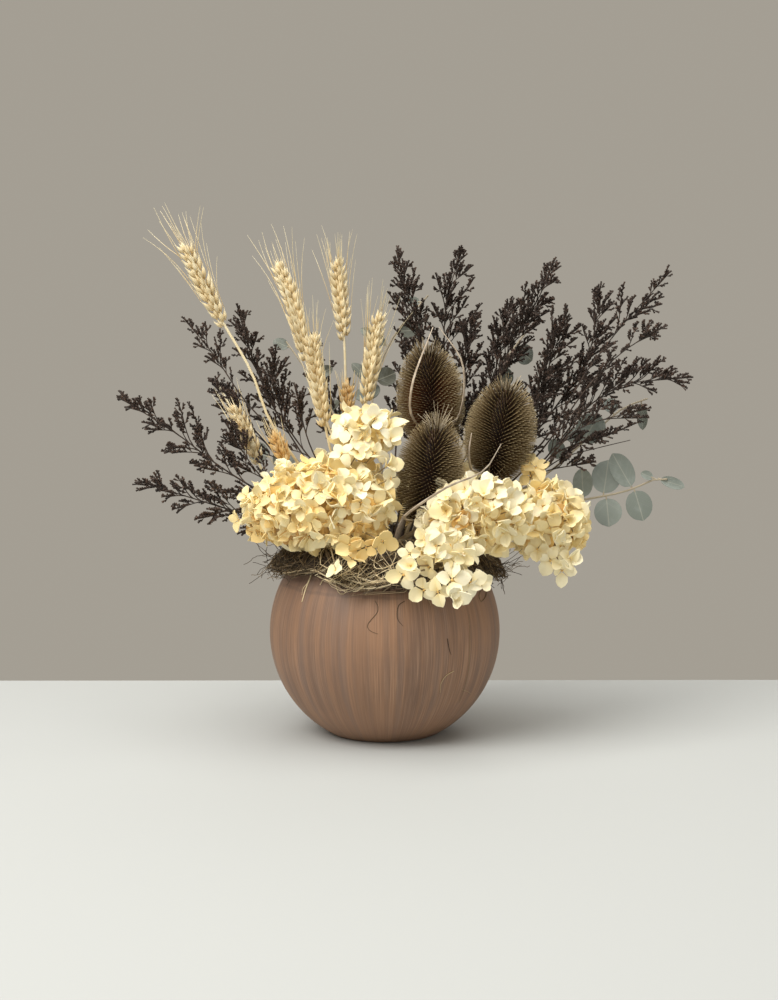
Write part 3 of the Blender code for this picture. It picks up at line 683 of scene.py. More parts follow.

# %% [markdown]
# In front, left of the middle, a tangle of pale strands shows between the two flower heads, and a
# few single strands hang down over the vase or cling to it. Those are placed one by one where the
# photograph shows them. Two dark ones among them are painted shadows that hanging strands cast on
# the vase. Fine dark wisps stand out at both sides and behind, and the last strands of all lie
# highest on the ring, so that no bare bed shows from any side.

# %% The pale tangle, the hanging strands and the wisps
curly_strands(52, 44, 62, 0.0120, 0.030, 0.26, 0.00044, 0.92, rings=22, middle=-0.18, spread=0.26)
curly_strands(60, 46, 64, 0.0085, 0.024, 0.24, 0.00036, 0.72, rings=18, middle=-0.14, spread=0.34)
curly_strands(70, 48, 66, 0.0110, 0.018, 0.20, 0.00034, 0.30, middle=-0.95, spread=0.40)
curly_strands(50, 50, 66, 0.0110, 0.018, 0.20, 0.00034, 0.22, middle=0.95, spread=0.40)

# Each single strand: the places seen, right and up in millimetres, its radius and its shade
CLINGING_STRANDS_AND_SHADOWS = (
    (((-53.1, 140), (-54.6, 135.4), (-56.7, 129.1), (-59.6, 121.9), (-62.6, 111.8)), 0.62, 0.9),
    (((-57.8, 126.2), (-62, 120.9), (-62.7, 116.6)), 0.4, 0.92),
    (((-53.1, 136.9), (-47.5, 136.2), (-42.1, 135.4)), 0.7, 0.8),
    (((-48.8, 125.3), (-46.6, 129), (-44.3, 131.9)), 0.45, 0.85),
    (((-50.5, 132.6), (-41.2, 130.8), (-29.8, 123.4)), 0.48, 0.72),
    (((-37.5, 133.1), (-36.6, 125.7), (-34.3, 121), (-30.5, 120.6), (-27.5, 124.2), (-29.8, 127.5),
        (-35.1, 129.9)), 0.42, 0.82),
    (((30.4, 121), (32.7, 115.5), (34.1, 111.9)), 0.32, 0.62),
    (((78.9, 121.5), (77.6, 112.6), (73.2, 109.7), (71.6, 113.5), (73.5, 117.8)), 0.36, 0.45),
    # These two dark strands are painted shadows that hanging strands cast on the vase
    (((-7.4, 116.5), (-5.2, 112.3), (-6, 108), (-10.4, 103), (-13.3, 98.6), (-11.1, 95.1),
        (-5.2, 93)), 0.26, 0.22),
    (((14.7, 116.3), (10.3, 113.6), (8.8, 108.7), (9.5, 103), (13.2, 98.6)), 0.3, 0.12),
    (((46.4, 87.2), (46.8, 84.8), (47.6, 80.2), (49.2, 74.7)), 0.34, 0.02),
    (((51.6, 61.8), (45.5, 58.7), (41.8, 52.7), (41.2, 45.2)), 0.36, 0.66),
    (((58.3, 44.8), (63.2, 41.7), (69.5, 33.3)), 0.24, 0.6),
    (((63.2, 102.4), (63.9, 83.9), (63.3, 62.1), (59.9, 44.4), (56.3, 33.4)), 0.22, 0.52),
)


def on_front_of_ball(x, z, height):
    """The place on the vase's front that is seen at x and z."""
    return -math.sqrt(max((BALL_RADIUS + height) ** 2 - x * x - (z - BALL_CENTRE_Z) ** 2, 0.0))


STRAND_RINGS = 14
for seen, radius, shade in CLINGING_STRANDS_AND_SHADOWS:
    radius = metres(radius)
    places = [(x, on_front_of_ball(x, z, radius * 0.9), z) for x, z in metres(seen)]
    before = tuple(2 * a - b for a, b in zip(places[0], places[1]))
    route = Route(smooth_route([before, *places], 8))
    thick = radius * (1.0 - 0.5 * np.linspace(0, 1, STRAND_RINGS) ** 3)
    lay_rods(wool, route.spaced(STRAND_RINGS)[None], thick[None], 5, [shade], 1.0, flat=0.7)

# Where each tuft of wisps starts, in millimetres, and how many wisps it has
WISP_TUFTS = (((-80, -34, 146), 16), ((-83, -22, 138), 14), ((-72, -50, 140), 10), ((80, -34, 140), 12),
              ((84, -20, 134), 12), ((77, -44, 132), 8), ((-40, 82, 138), 12), ((46, 80, 138), 12),
              ((70, 58, 136), 8))
WISP_RINGS = 12
WISP_RADIUS = 0.00024
CLEAR_RADIUS = 0.0925
for root, count in WISP_TUFTS:
    root = np.array(metres(root))
    out = unit(root * np.array([1.0, 1.0, 0.0]))
    heading = unit(out + np.array([0, 0, -0.35]) + rng.normal(0, 0.45, (count, 3)))
    steps = heading[:, None] + np.cumsum(rng.normal(0, 0.38, (count, WISP_RINGS, 3)), axis=1)
    routes = root + rng.normal(0, 0.003, (count, 1, 3))
    routes = routes + np.cumsum(unit(steps) * rng.uniform(0.0012, 0.0026, (count, 1, 1)), axis=1)
    flat_out = np.linalg.norm(routes[..., :2], axis=-1)
    outside = np.sqrt(np.maximum(CLEAR_RADIUS ** 2 - (routes[..., 2] - BALL_CENTRE_Z) ** 2, 0.0))
    push = np.maximum(outside / np.maximum(flat_out, 1e-6), 1.0)
    routes[..., :2] *= push[..., None]
    lay_rods(wool, routes, np.full((count, WISP_RINGS), WISP_RADIUS), 3, rng.uniform(0.0, 0.35, count), 1.0)
curly_strands(260, 36, 62, 0.0118, 0.026, 0.16, 0.00050, 0.30, rings=10, lowest=0.75)
curly_strands(140, 36, 62, 0.0125, 0.022, 0.20, 0.00046, 0.44, rings=10, lowest=0.75)
print("wood wool", wool.count, "corners")

# %% [markdown]
# Wood wool is thin ribbon shaved from a log. The bed is almost black between its painted fibres,
# partly the dark wool and moss, partly painted shade deep in the tangle. The strands run from dark
# brown to pale straw, by the red of the growth attribute.

# %% Wood wool finish
shavings, shavings_shader, place = new_material("wood_wool")
shade, along, kind = growth_of(place)
flecks = place.noise(420.0, 2.0, 0.6)
strand = shade.ramp((0.0, (0.024, 0.015, 0.009)), (0.18, (0.078, 0.052, 0.028)),
                    (0.38, (0.180, 0.128, 0.070)), (0.62, (0.400, 0.300, 0.165)),
                    (0.90, (0.760, 0.620, 0.380)), (1.0, (0.840, 0.720, 0.480)))
strand = (flecks.between(0.50, 0.80) * 0.25).mix(strand, (0.100, 0.070, 0.040))
level_fibres = place.noise(150.0, 3.0, 0.7, (1.0, 1.0, 5.0))
upright_fibres = place.noise(170.0, 3.0, 0.7, (3.5, 3.5, 0.7))
# The bed is near black: partly the dark wool and moss, partly painted shade deep in the tangle
bed = flecks.between(0.40, 0.70).mix((0.014, 0.009, 0.006), (0.052, 0.035, 0.020))
bed = (level_fibres.between(0.52, 0.66) * 0.75).mix(bed, (0.130, 0.090, 0.050))
bed = (upright_fibres.between(0.54, 0.68) * 0.60).mix(bed, (0.190, 0.135, 0.075))
# Painted shade: the gaps between the bed's fibres are darkest
bed = (level_fibres.between(0.48, 0.36) * 0.80).mix(bed, (0.008, 0.005, 0.003))
connect(shavings_shader, kind.mix(bed, strand), 0.86, level_fibres + upright_fibres, 0.6, 0.0010)
hand_over(wool.piece("wood_wool"), "wood_wool_collar", shavings)

# %% [markdown]
# ## Wheat
# An ear of bearded wheat is a zigzag of spikelets, left and right of a thin stalk, each a fan of
# husks with a long stiff awn. One husk is modelled from a small sphere: stretched to a grain, its
# top drawn to a point and its back pressed to a keel.

# %% One husk
put_down()
bpy.ops.mesh.primitive_uv_sphere_add(segments=8, ring_count=7, radius=0.5)
husk = bpy.context.object
edit(husk)
bpy.ops.transform.translate(value=(0, 0, 0.5))
choose(husk, lambda c: c.z > 0.98)
bpy.ops.transform.translate(value=(0, 0, 0.22))
choose(husk, lambda c: 0.75 < c.z < 0.98)
bpy.ops.transform.resize(value=(0.62, 0.62, 1.0), center_override=(0, 0, 0.9))
choose(husk, lambda c: 0.02 < c.z < 0.30)
bpy.ops.transform.resize(value=(0.72, 0.72, 1.0), center_override=(0, 0, 0.1))
choose(husk, lambda c: c.y < -0.2)
bpy.ops.transform.translate(value=(0, -0.10, 0))
husk_shape = put_away(husk)
print("husk", len(husk_shape[2]), "faces")

# %% [markdown]
# Each ear's entry repeats its CAD stem: where it leaves the foam, the places it passes, the ear's
# length and radius and how far the awns reach. Two short ears are a warm orange, and two others are
# a little warmer than the rest.

# %% The ears of wheat
WHEAT = {
    1: ((-25, -6), ((-58, -9, 200), (-89, -10, 246), (-103, -11, 284), (-126, -14, 325),
        (-154, -20, 382)), 72, 7.8, 30),
    2: ((-15, 4), ((-30, 6, 205), (-48, 9, 250), (-61, 12, 291), (-73, 14, 341),
        (-85, 16, 369)), 82, 7.8, 27),
    3: ((-15, -6), ((-30, -8, 195), (-42, -16, 224), (-54, -23, 292), (-55, -26, 314)), 74, 7.6, 26),
    4: ((-9, 12), ((-22, 22, 200), (-30, 28, 250), (-32, 30, 306), (-38, 34, 373)), 67, 7.4, 24),
    5: ((-11, -1), ((-22, -1, 195), (-29, 2, 230), (-29, 3, 278)), 34, 5.8, 8),
    6: ((-4, -5), ((-13, -6, 200), (-16, -8, 242), (-8, -10, 306), (-4, -11, 330)), 74, 7.6, 24),
    7: ((-31, -10), ((-54, -9, 180), (-70, -15, 200), (-86, -26, 239)), 31, 7, 12),
    8: ((-32, 15), ((-66, 24, 176), (-92, 29, 194), (-108, 34, 228), (-122, 38, 257)), 54, 7.4, 22),
}
WHEAT_WARMTH = {3: 0.36, 5: 0.80, 7: 0.92, 8: 0.42}

# The tips of the awns that stand clear of each ear
AWN_TIPS = {
    1: ((-180.1, -19, 391.5), (-166.8, -22, 412), (-157.1, -16, 403.5), (-151, -20, 405.8),
        (-140.3, -17, 410.3), (-137.3, -21, 408.8), (-159, -18, 364), (-128, -16, 372)),
    2: ((-95.6, 15, 391.8), (-87.1, 12, 382.5), (-80.8, 16, 380.2), (-91.2, 13, 354.7), (-66.2, 15, 352)),
    3: ((-56.9, -25, 332.5), (-44.7, -24, 332.5), (-38.7, -27, 323.4), (-50.8, -22, 338.5)),
    4: ((-43.2, 34, 385), (-33.7, 32, 391.3), (-46.4, 35, 372.5), (-26.6, 33, 372.5)),
    6: ((-0.6, -11, 349.4), (-12.1, -10, 339), (-5.2, -12, 341.8), (5.6, -9, 334.9), (7.9, -11, 321.9)),
    8: ((-125, 36, 268), (-126.8, 40, 256)),
}

SPIKELET_STEP = 0.0037
FULL_EAR_RADIUS = 0.0076
# A full husk's width, depth and length, and those of the three husks at the ear's tip
HUSK_SIZE = (0.0037, 0.0032, 0.0112)
TIP_HUSK_SIZE = (0.0030, 0.0026, 0.0090)
TIP_HUSKS = 3
# The husks of one spikelet: how far each leans out, fans to the front and stands off the stalk
HUSK_FAN = ((0.44, 0.0, 0.0026), (0.27, 0.40, 0.0017), (0.27, -0.40, 0.0017), (0.12, 0.16, 0.0006),
            (0.12, -0.16, 0.0006))
EAR_FULLNESS = ((0.0, 0.62), (0.12, 0.85), (0.35, 1.0), (0.7, 0.92), (1.0, 0.66))
BEARDED_SHARE = 0.22
AWN_RINGS = 6
AWN_RADII = ((0, 0.00034), (0.7, 0.00024), (1.0, 0.00010))
# How far back from its tip, along the ear, an awn with a listed tip is rooted
AWN_SETBACK = 0.034

straw, straw_shader, place = new_material("wheat_straw")
shade, along, kind = growth_of(place)
grain = place.noise(300.0, 2.0, 0.6)
fibres = place.noise(120.0, 3.0, 0.6)
# Each husk, awn and stalk is darker at its foot than at its tip: partly the straw's own colour, partly
# painted shade where the husks tuck in between each other
pale = along.mix((0.560, 0.400, 0.180), (0.930, 0.830, 0.560))
warm = along.mix((0.520, 0.290, 0.095), (0.860, 0.600, 0.260))
ear_colour = shade.between(0.30, 0.95).mix(pale, warm)
ear_colour = (grain.between(0.55, 0.80) * 0.28).mix(ear_colour, (0.480, 0.330, 0.150))
ear_colour = (fibres.between(0.52, 0.32) * 0.45).mix(ear_colour, (0.960, 0.900, 0.680))
connect(straw_shader, ear_colour, 0.50, grain, 0.25, 0.0003)


def awns(route, middle, ahead, feet, ups, lengths, awn_reach, rng):
    """An awn on some of the husks: it leaves the husk's tip and turns towards the ear's own way."""
    bearded = rng.random(len(feet)) < BEARDED_SHARE
    feet, ups = feet[bearded], ups[bearded]
    start = feet + ups * lengths[bearded] * 1.05
    nearest = np.argmin(np.linalg.norm(middle[None] - feet[:, None], axis=-1), axis=1)
    aim = unit(ups * 0.45 + ahead[nearest] + rng.normal(0, 0.04, start.shape))
    to_tip = (route.at(route.length) - start) @ route.ahead(route.length)
    awn_length = np.clip(to_tip + awn_reach * rng.uniform(0.45, 1.1, len(start)), 0.006, 0.052)[:, None, None]
    t = np.linspace(0, 1, AWN_RINGS)[None, :, None]
    bow = unit(ups - ahead[nearest]) * rng.normal(0.05, 0.07, (len(start), 1))
    return start[:, None] + (aim[:, None] + bow[:, None] * t) * awn_length * t


def awn_to(route, far_tip, ear_length):
    """An awn that ends in a listed place."""
    short_of_end = (route.at(route.length) - far_tip) @ route.ahead(route.length)
    below = np.clip(short_of_end + AWN_SETBACK, 0.012, ear_length * 0.9)
    root, side = route.at(route.length - below), sides_of(route.ahead(route.length - below))[0]
    root = root + side * np.sign((far_tip - root) @ side) * 0.0035
    t = np.linspace(0, 1, AWN_RINGS)[:, None]
    return root + (far_tip - root) * t + side * 0.0012 * np.sin(t * math.pi)


def wheat(number):
    leaves_foam, places, ear_length, ear_radius, awn_reach = metres(WHEAT[number])
    rng = np.random.default_rng(100 + number)
    route = stem_route(leaves_foam, places)
    warmth = WHEAT_WARMTH.get(number, 0.12)
    bunch = Bunch()
    neck = route.length - ear_length
    lay_stem(bunch, route, 0.0, route.length - 0.006, 0.0012, 0.0009, warmth * 0.5, 0.7)
    steps = max(6, round(ear_length / SPIKELET_STEP))
    reach = neck + 0.001 + (ear_length - 0.009) * np.arange(steps) / (steps - 1)
    middle, ahead = route.at(reach), route.ahead(reach)
    side = round_about(ahead, rng.uniform(-0.35, 0.35))
    front = np.cross(side, ahead)
    sign = np.where(np.arange(steps) % 2 == 0, 1.0, -1.0)[:, None]
    fullness = np.interp(np.arange(steps) / (steps - 1), *zip(*EAR_FULLNESS)) * ear_radius / FULL_EAR_RADIUS
    feet, ups, sizes = [], [], []
    for lean, fan, out in HUSK_FAN:
        jitter = rng.normal(0, 0.05, (steps, 3))
        feet.append(middle + side * sign * out + front * fan * 0.005)
        ups.append(unit(ahead + side * sign * lean + front * fan + jitter))
        sizes.append(np.outer(fullness, HUSK_SIZE))
        sizes[-1][:, 2] *= rng.uniform(0.9, 1.10, steps)
    feet.append(np.tile(route.at(route.length - TIP_HUSK_SIZE[2]), (TIP_HUSKS, 1)))
    ups.append(unit(route.ahead(route.length) + rng.normal(0, 0.16, (TIP_HUSKS, 3))))
    sizes.append(np.tile(TIP_HUSK_SIZE, (TIP_HUSKS, 1)))
    feet, ups, sizes = np.concatenate(feet), np.concatenate(ups), np.concatenate(sizes)
    shades = np.clip(rng.normal(warmth, 0.10, len(feet)), 0, 1)
    scatter(bunch, husk_shape, feet, ups, sizes, shades, 0.5, turn=rng.uniform(0, 6.28, len(feet)))
    routes = [*awns(route, middle, ahead, feet, ups, sizes[:, 2:3], awn_reach, rng)]
    for far_tip in metres(AWN_TIPS.get(number, ())):
        routes.append(awn_to(route, np.array(far_tip), ear_length))
    thick = np.interp(np.linspace(0, 1, AWN_RINGS), *zip(*AWN_RADII))
    lay_rods(bunch, routes, thick, 3, np.full(len(routes), warmth * 0.4), 1.0)
    hand_over(bunch.piece(f"wheat_{number}_ear_and_stalk"), f"wheat_{number}", straw)


for wheat_number in WHEAT:
    wheat(wheat_number)

# %% [markdown]
# ## Limonium
# The dark sprays are dried and dyed limonium. Each is a wiry stem with alternate branches that
# rise steeply and carry short twigs, and along the upper side of the twigs sit tiny dry cups. The
# cup is a small five-sided funnel that leans a little. The branches' tips are listed where the
# photograph shows them, and each branch leaves the stem lower down at its natural angle. Filler
# branches, evenly turned round the stem, make up what the list alone would leave too thin.

# %% One cup
put_down()
bpy.ops.mesh.primitive_cone_add(vertices=5, radius1=0.16, radius2=0.46, depth=1.0, location=(0, 0, 0.5))
cup = bpy.context.object
bpy.ops.object.transform_apply(location=True)
edit(cup)
choose(cup, lambda c: c.z > 0.9)
bpy.ops.transform.translate(value=(0, 0.10, 0.06))
cup_shape = put_away(cup)
print("cup", len(cup_shape[2]), "faces")

# %% The sprays' stems and tips
# Each spray: where it leaves the foam, the places it passes and the length of its full part
LIMONIUM = {
    1: ((-37, 1), ((-70, 1, 176), (-99, -1, 191), (-131, -5, 212), (-160, -9, 235), (-204, -14, 264)), 100),
    2: ((-40, -8), ((-76, -16, 168), (-110, -26, 176), (-148, -38, 189), (-186, -46, 202)), 90),
    3: ((-36, 9), ((-70, 12, 180), (-99, 14, 202), (-128, 22, 245)), 60),
    4: ((-24, 8), ((-54, 10, 195), (-90, 16, 238), (-112, 22, 262), (-136, 28, 297), (-159, 34, 324)), 95),
    5: ((-21, 21), ((-52, 38, 195), (-88, 52, 250), (-104, 60, 284), (-119, 70, 330)), 85),
    6: ((-29, 22), ((-62, 40, 185), (-99, 58, 227), (-143, 74, 275)), 70),
    7: ((-19, 12), ((-45, 26, 195), (-76, 36, 236), (-88, 40, 268), (-87, 46, 302)), 75),
    8: ((-22, -1), ((-46, -1, 200), (-60, -1, 231), (-70, -2, 272)), 55),
    9: ((8, 20), ((22, 40, 215), (32, 52, 268), (27, 56, 315), (16, 60, 353), (10, 64, 377)), 125),
    10: ((14, 26), ((32, 52, 220), (48, 68, 290), (50, 74, 335), (63, 80, 381)), 100),
    11: ((19, 17), ((46, 36, 210), (64, 46, 272), (66, 50, 302), (75, 54, 328)), 85),
    12: ((24, 21), ((56, 44, 210), (86, 62, 268), (97, 68, 312), (104, 72, 341)), 95),
    13: ((24, 10), ((56, 24, 200), (84, 34, 256), (102, 38, 306), (124, 42, 343), (136, 46, 371)), 120),
    14: ((29, 6), ((66, 18, 190), (104, 28, 226), (127, 34, 276), (145, 40, 328)), 115),
    15: ((29, 17), ((68, 36, 190), (112, 50, 222), (142, 56, 258), (166, 62, 296), (176, 68, 352)), 120),
    16: ((34, 10), ((76, 18, 184), (124, 18, 226), (160, 20, 284), (187, 22, 319), (224, 26, 360)), 115),
    17: ((35, 2), ((78, 7, 178), (120, 6, 218), (158, -2, 272), (185, -8, 300), (215, -12, 318)), 90),
    18: ((37, 17), ((82, 32, 176), (126, 36, 210), (160, 36, 252), (190, 34, 272), (243, 32, 278)), 105),
    19: ((39, -4), ((82, -2, 174), (120, -6, 208), (150, -14, 240), (202, -24, 256)), 66),
    20: ((41, 4), ((86, 8, 176), (122, 2, 204), (162, -4, 213)), 46),
    21: ((-12, 34), ((-30, 64, 224), (-48, 92, 270), (-62, 116, 312)), 90),
    22: ((6, 38), ((10, 70, 228), (18, 100, 280), (22, 124, 326)), 95),
    23: ((28, 32), ((70, 68, 212), (114, 98, 246), (150, 116, 280)), 90),
}

# The tips of each spray's branches
BRANCH_TIPS = {
    1: ((-190, -11, 262), (-182, -9, 261), (-161, -4, 261), (-153, 4, 258), (-183, -9, 239),
        (-175, -4, 243), (-171, -9, 222), (-143, -2, 218), (-129, 1, 223), (-145, -4, 240), (-123, 6, 218)),
    2: ((-171, -43, 201), (-161, -38, 198), (-153, -33, 198), (-136, -30, 200), (-117, -28, 193),
        (-138, -45, 175), (-124, -33, 183)),
    3: ((-118, 24, 238), (-121, 16, 225), (-113, 29, 235), (-125, 9, 233)),
    4: ((-142, 34, 320), (-131, 38, 314), (-140, 21, 294), (-149, 26, 304), (-136, 36, 298),
        (-126, 31, 292), (-121, 26, 278), (-128, 18, 267)),
    5: ((-120, 68, 329), (-114, 52, 323), (-125, 65, 322), (-114, 72, 328), (-104, 72, 312),
        (-103, 70, 296), (-112, 52, 298), (-117, 60, 309)),
    6: ((-133, 71, 273), (-128, 76, 270), (-121, 66, 265), (-119, 73, 255), (-136, 61, 261)),
    7: ((-78, 45, 292), (-95, 33, 288), (-79, 50, 282), (-92, 48, 298), (-76, 40, 272), (-97, 30, 276),
        (-78, 45, 261), (-97, 48, 266)),
    8: ((-62, 3, 268), (-70, -2, 252), (-64, 5, 257), (-67, -9, 262), (-57, 3, 252)),
    9: ((19, 61, 369), (25, 66, 364), (26, 64, 353), (12, 49, 357), (4, 46, 344), (13, 56, 343),
        (20, 61, 350), (32, 66, 338), (11, 49, 332), (30, 64, 325), (16, 56, 322), (9, 46, 316),
        (29, 64, 311)),
    10: ((66, 79, 376), (71, 84, 367), (73, 82, 357), (54, 67, 360), (42, 64, 359), (49, 69, 353),
        (58, 79, 341), (68, 84, 341), (79, 82, 336), (52, 74, 340), (42, 67, 331), (36, 64, 320),
        (52, 79, 327)),
    11: ((68, 53, 323), (60, 41, 323), (76, 58, 314), (66, 53, 309), (79, 58, 304), (59, 41, 304),
        (74, 56, 293), (62, 48, 290)),
    12: ((60, 42, 248), (68, 47, 256), (72, 48, 244), (74, 50, 264), (88, 59, 325), (94, 66, 330),
        (108, 73, 333), (98, 71, 320), (113, 76, 322), (87, 59, 312), (103, 71, 306), (110, 76, 299),
        (84, 61, 298)),
    13: ((64, 28, 242), (70, 31, 234), (137, 48, 355), (134, 45, 340), (112, 30, 352), (119, 33, 349),
        (115, 30, 335), (131, 48, 330), (109, 28, 339), (125, 45, 322), (103, 30, 325), (118, 43, 309),
        (98, 30, 312), (113, 45, 298)),
    14: ((132, 22, 333), (145, 35, 330), (157, 40, 319), (156, 40, 295), (152, 37, 308), (135, 22, 322),
        (129, 20, 312), (144, 35, 298), (127, 22, 298), (140, 37, 282), (123, 22, 283), (134, 35, 266),
        (149, 40, 276)),
    15: ((184, 64, 345), (185, 66, 337), (188, 64, 325), (181, 61, 316), (185, 66, 311), (172, 49, 306),
        (167, 49, 295), (175, 64, 290), (162, 49, 282), (169, 64, 275), (152, 51, 266), (159, 64, 261)),
    16: ((213, 25, 350), (223, 28, 360), (219, 30, 341), (216, 28, 335), (187, 13, 351), (195, 15, 341),
        (197, 25, 325), (206, 28, 339), (207, 20, 330), (188, 13, 322), (179, 15, 304), (171, 25, 291)),
    17: ((194, -13, 320), (204, -9, 321), (210, -1, 313), (197, -11, 310), (189, -1, 302), (175, -13, 299),
        (182, 2, 291), (168, -11, 287), (172, 2, 277)),
    18: ((223, 39, 292), (210, 34, 291), (202, 29, 292), (190, 26, 292), (232, 42, 284), (217, 42, 287),
        (198, 39, 287), (183, 42, 265), (180, 26, 284), (171, 26, 283), (164, 34, 278), (159, 24, 283),
        (227, 39, 277)),
    19: ((193, -15, 257), (203, -5, 248), (195, -3, 243), (183, -3, 238), (179, -18, 256), (169, -18, 261),
        (166, -5, 248), (156, -18, 258), (148, -5, 252), (139, -18, 258), (136, -5, 242)),
    20: ((163, 4, 213), (154, 1, 215), (143, -4, 217), (148, -9, 225), (135, -11, 222)),
}

# A bare side stem whose cups have dropped
BARE_TWIGS = {20: ((120, 2.2, 203), (139.4, 0, 216.5), (165.9, -1, 224), (191.6, -2, 230.3))}

# Some sprays are denser than their listed tips alone would make them: the step from one filler
# branch to the next
FILLER_STEP = {1: 11, 2: 8, 3: 10, 5: 8, 6: 9, 7: 7.5, 9: 7, 10: 12, 11: 6.5, 12: 6.5, 13: 6.5, 14: 5.5,
               15: 7.5, 18: 10, 21: 7.5, 22: 7.5, 23: 7.5}

# %% [markdown]
# A branch leaves its stem where the line to its tip makes about 33 degrees with the stem, sets off
# close to the stem's own direction and opens outwards. Its twigs sit mostly on its upper side.

# %% Growing a spray
BRANCH_ANGLE = math.radians(33)
TWIG_STEP = 0.0036
CUP_STEP = 0.00128
# A twig's length by its share of the way along its branch
TWIG_LENGTHS = ((0.3, 0.0076), (0.6, 0.0058), (0.93, 0.0016))
# How far the filler branches start below the tip, by the length of the full part
FILLER_START = 1.30
UPWARDS = np.array([0.0, 0.0, 1.0])

dark, dark_shader, place = new_material("dark_limonium")
shade, along, kind = growth_of(place)
mottle = place.noise(260.0, 2.0, 0.6)
cup_colour = shade.ramp((0.0, (0.013, 0.008, 0.006)), (0.55, (0.036, 0.020, 0.013)),
                        (0.85, (0.085, 0.046, 0.030)), (1.0, (0.150, 0.096, 0.068)))
cup_colour = (along.between(0.6, 1.0) * 0.30).mix(cup_colour, (0.100, 0.064, 0.045))
twig_colour = mottle.between(0.35, 0.7).mix((0.022, 0.014, 0.010), (0.060, 0.036, 0.023))
connect(dark_shader, kind.mix(twig_colour, cup_colour), 0.70, mottle, 0.3, 0.0003)


def branch_route(stem, tip, earliest):
    """From the stem to the tip: it leaves where the line to the tip makes the branch angle."""
    reach = np.linspace(earliest, stem.length * 0.985, 60)
    line = tip - stem.at(reach)
    angle = np.arccos(np.clip(np.sum(unit(line) * stem.ahead(reach), axis=-1), -1, 1))
    at = reach[np.argmin(np.abs(angle - BRANCH_ANGLE) + 0.02 * np.linalg.norm(line, axis=-1) / 0.03)]
    foot, ahead = stem.at(at), stem.ahead(at)
    length = np.linalg.norm(tip - foot)
    leave = unit(ahead + unit(tip - foot) * 0.7)
    arrive = unit(ahead * 0.35 + unit(tip - foot))
    t = np.linspace(0, 1, 12)[:, None]
    curve = (foot * (2 * t ** 3 - 3 * t ** 2 + 1) + leave * length * (t ** 3 - 2 * t ** 2 + t)
             + tip * (3 * t ** 2 - 2 * t ** 3) + arrive * length * (t ** 3 - t ** 2))
    return Route(curve)


def cups_along(route, start, side, rng, feet, ups):
    """Cups along a twig from a start to its tip, leaning out to its upper side."""
    reach = np.arange(start, route.length, CUP_STEP)
    if not len(reach):
        return
    middle, ahead = route.at(reach), route.ahead(reach)
    swing = rng.normal(0, 0.60, len(reach))
    out = unit(side - ahead * np.sum(side * ahead, axis=-1, keepdims=True))
    other = np.cross(ahead, out)
    lean = out * np.cos(swing)[:, None] + other * np.sin(swing)[:, None]
    feet.extend((middle, route.at(route.length)[None]))
    leaning = unit(ahead + lean * rng.uniform(0.40, 0.85, (len(reach), 1)))
    ups.extend((leaning, route.ahead(route.length)[None]))


def twig(foot, ahead, side, length, rng):
    """A short twig that opens from its branch and curves back towards the branch's direction."""
    away = unit(ahead * 0.90 + side * 0.75 + rng.normal(0, 0.10, 3))
    t = np.linspace(0, 1, 5)[:, None]
    return Route(foot + away * length * t + ahead * length * 0.22 * t ** 2)


def filler_tips(number, stem, plume, rng):
    """The tips of the filler branches of a spray that has any."""
    if number not in FILLER_STEP:
        return
    step = metres(FILLER_STEP[number])
    for k, reach in enumerate(np.arange(stem.length - plume * FILLER_START, stem.length - 0.008, step)):
        left = (stem.length - reach) / plume
        out = round_about(stem.ahead(reach), k * 2.4 + rng.uniform(-0.4, 0.4))
        length = (0.008 + 0.026 * min(left, 1.0)) * rng.uniform(0.75, 1.15)
        yield stem.at(reach) + unit(stem.ahead(reach) + out * 0.62) * length


def twigs_along(line, up_side, rng):
    """A branch's twigs, two of three on its upper side, each with the side that it grows on."""
    for k, at in enumerate(np.arange(line.length * 0.30, line.length * 0.93, TWIG_STEP)):
        ahead = line.ahead(at)
        out = up_side - ahead * float(up_side @ ahead)
        if np.linalg.norm(out) < 0.3:
            out = np.cross(ahead, VIEW_AXIS)
        out = unit(out)
        around = rng.normal(0.0, 0.50) + (2.7 if k % 3 == 2 else 0.0)
        side = out * math.cos(around) + np.cross(ahead, out) * math.sin(around)
        length = np.interp(at / line.length, *zip(*TWIG_LENGTHS)) * rng.uniform(0.6, 1.2)
        yield twig(line.at(at), ahead, side, length, rng), side


def lay_twigs(bunch, lines, rings, radii, sides, shades):
    lay_rods(bunch, [line.spaced(rings) for line in lines], np.linspace(*radii, rings), sides, shades, 0.0)


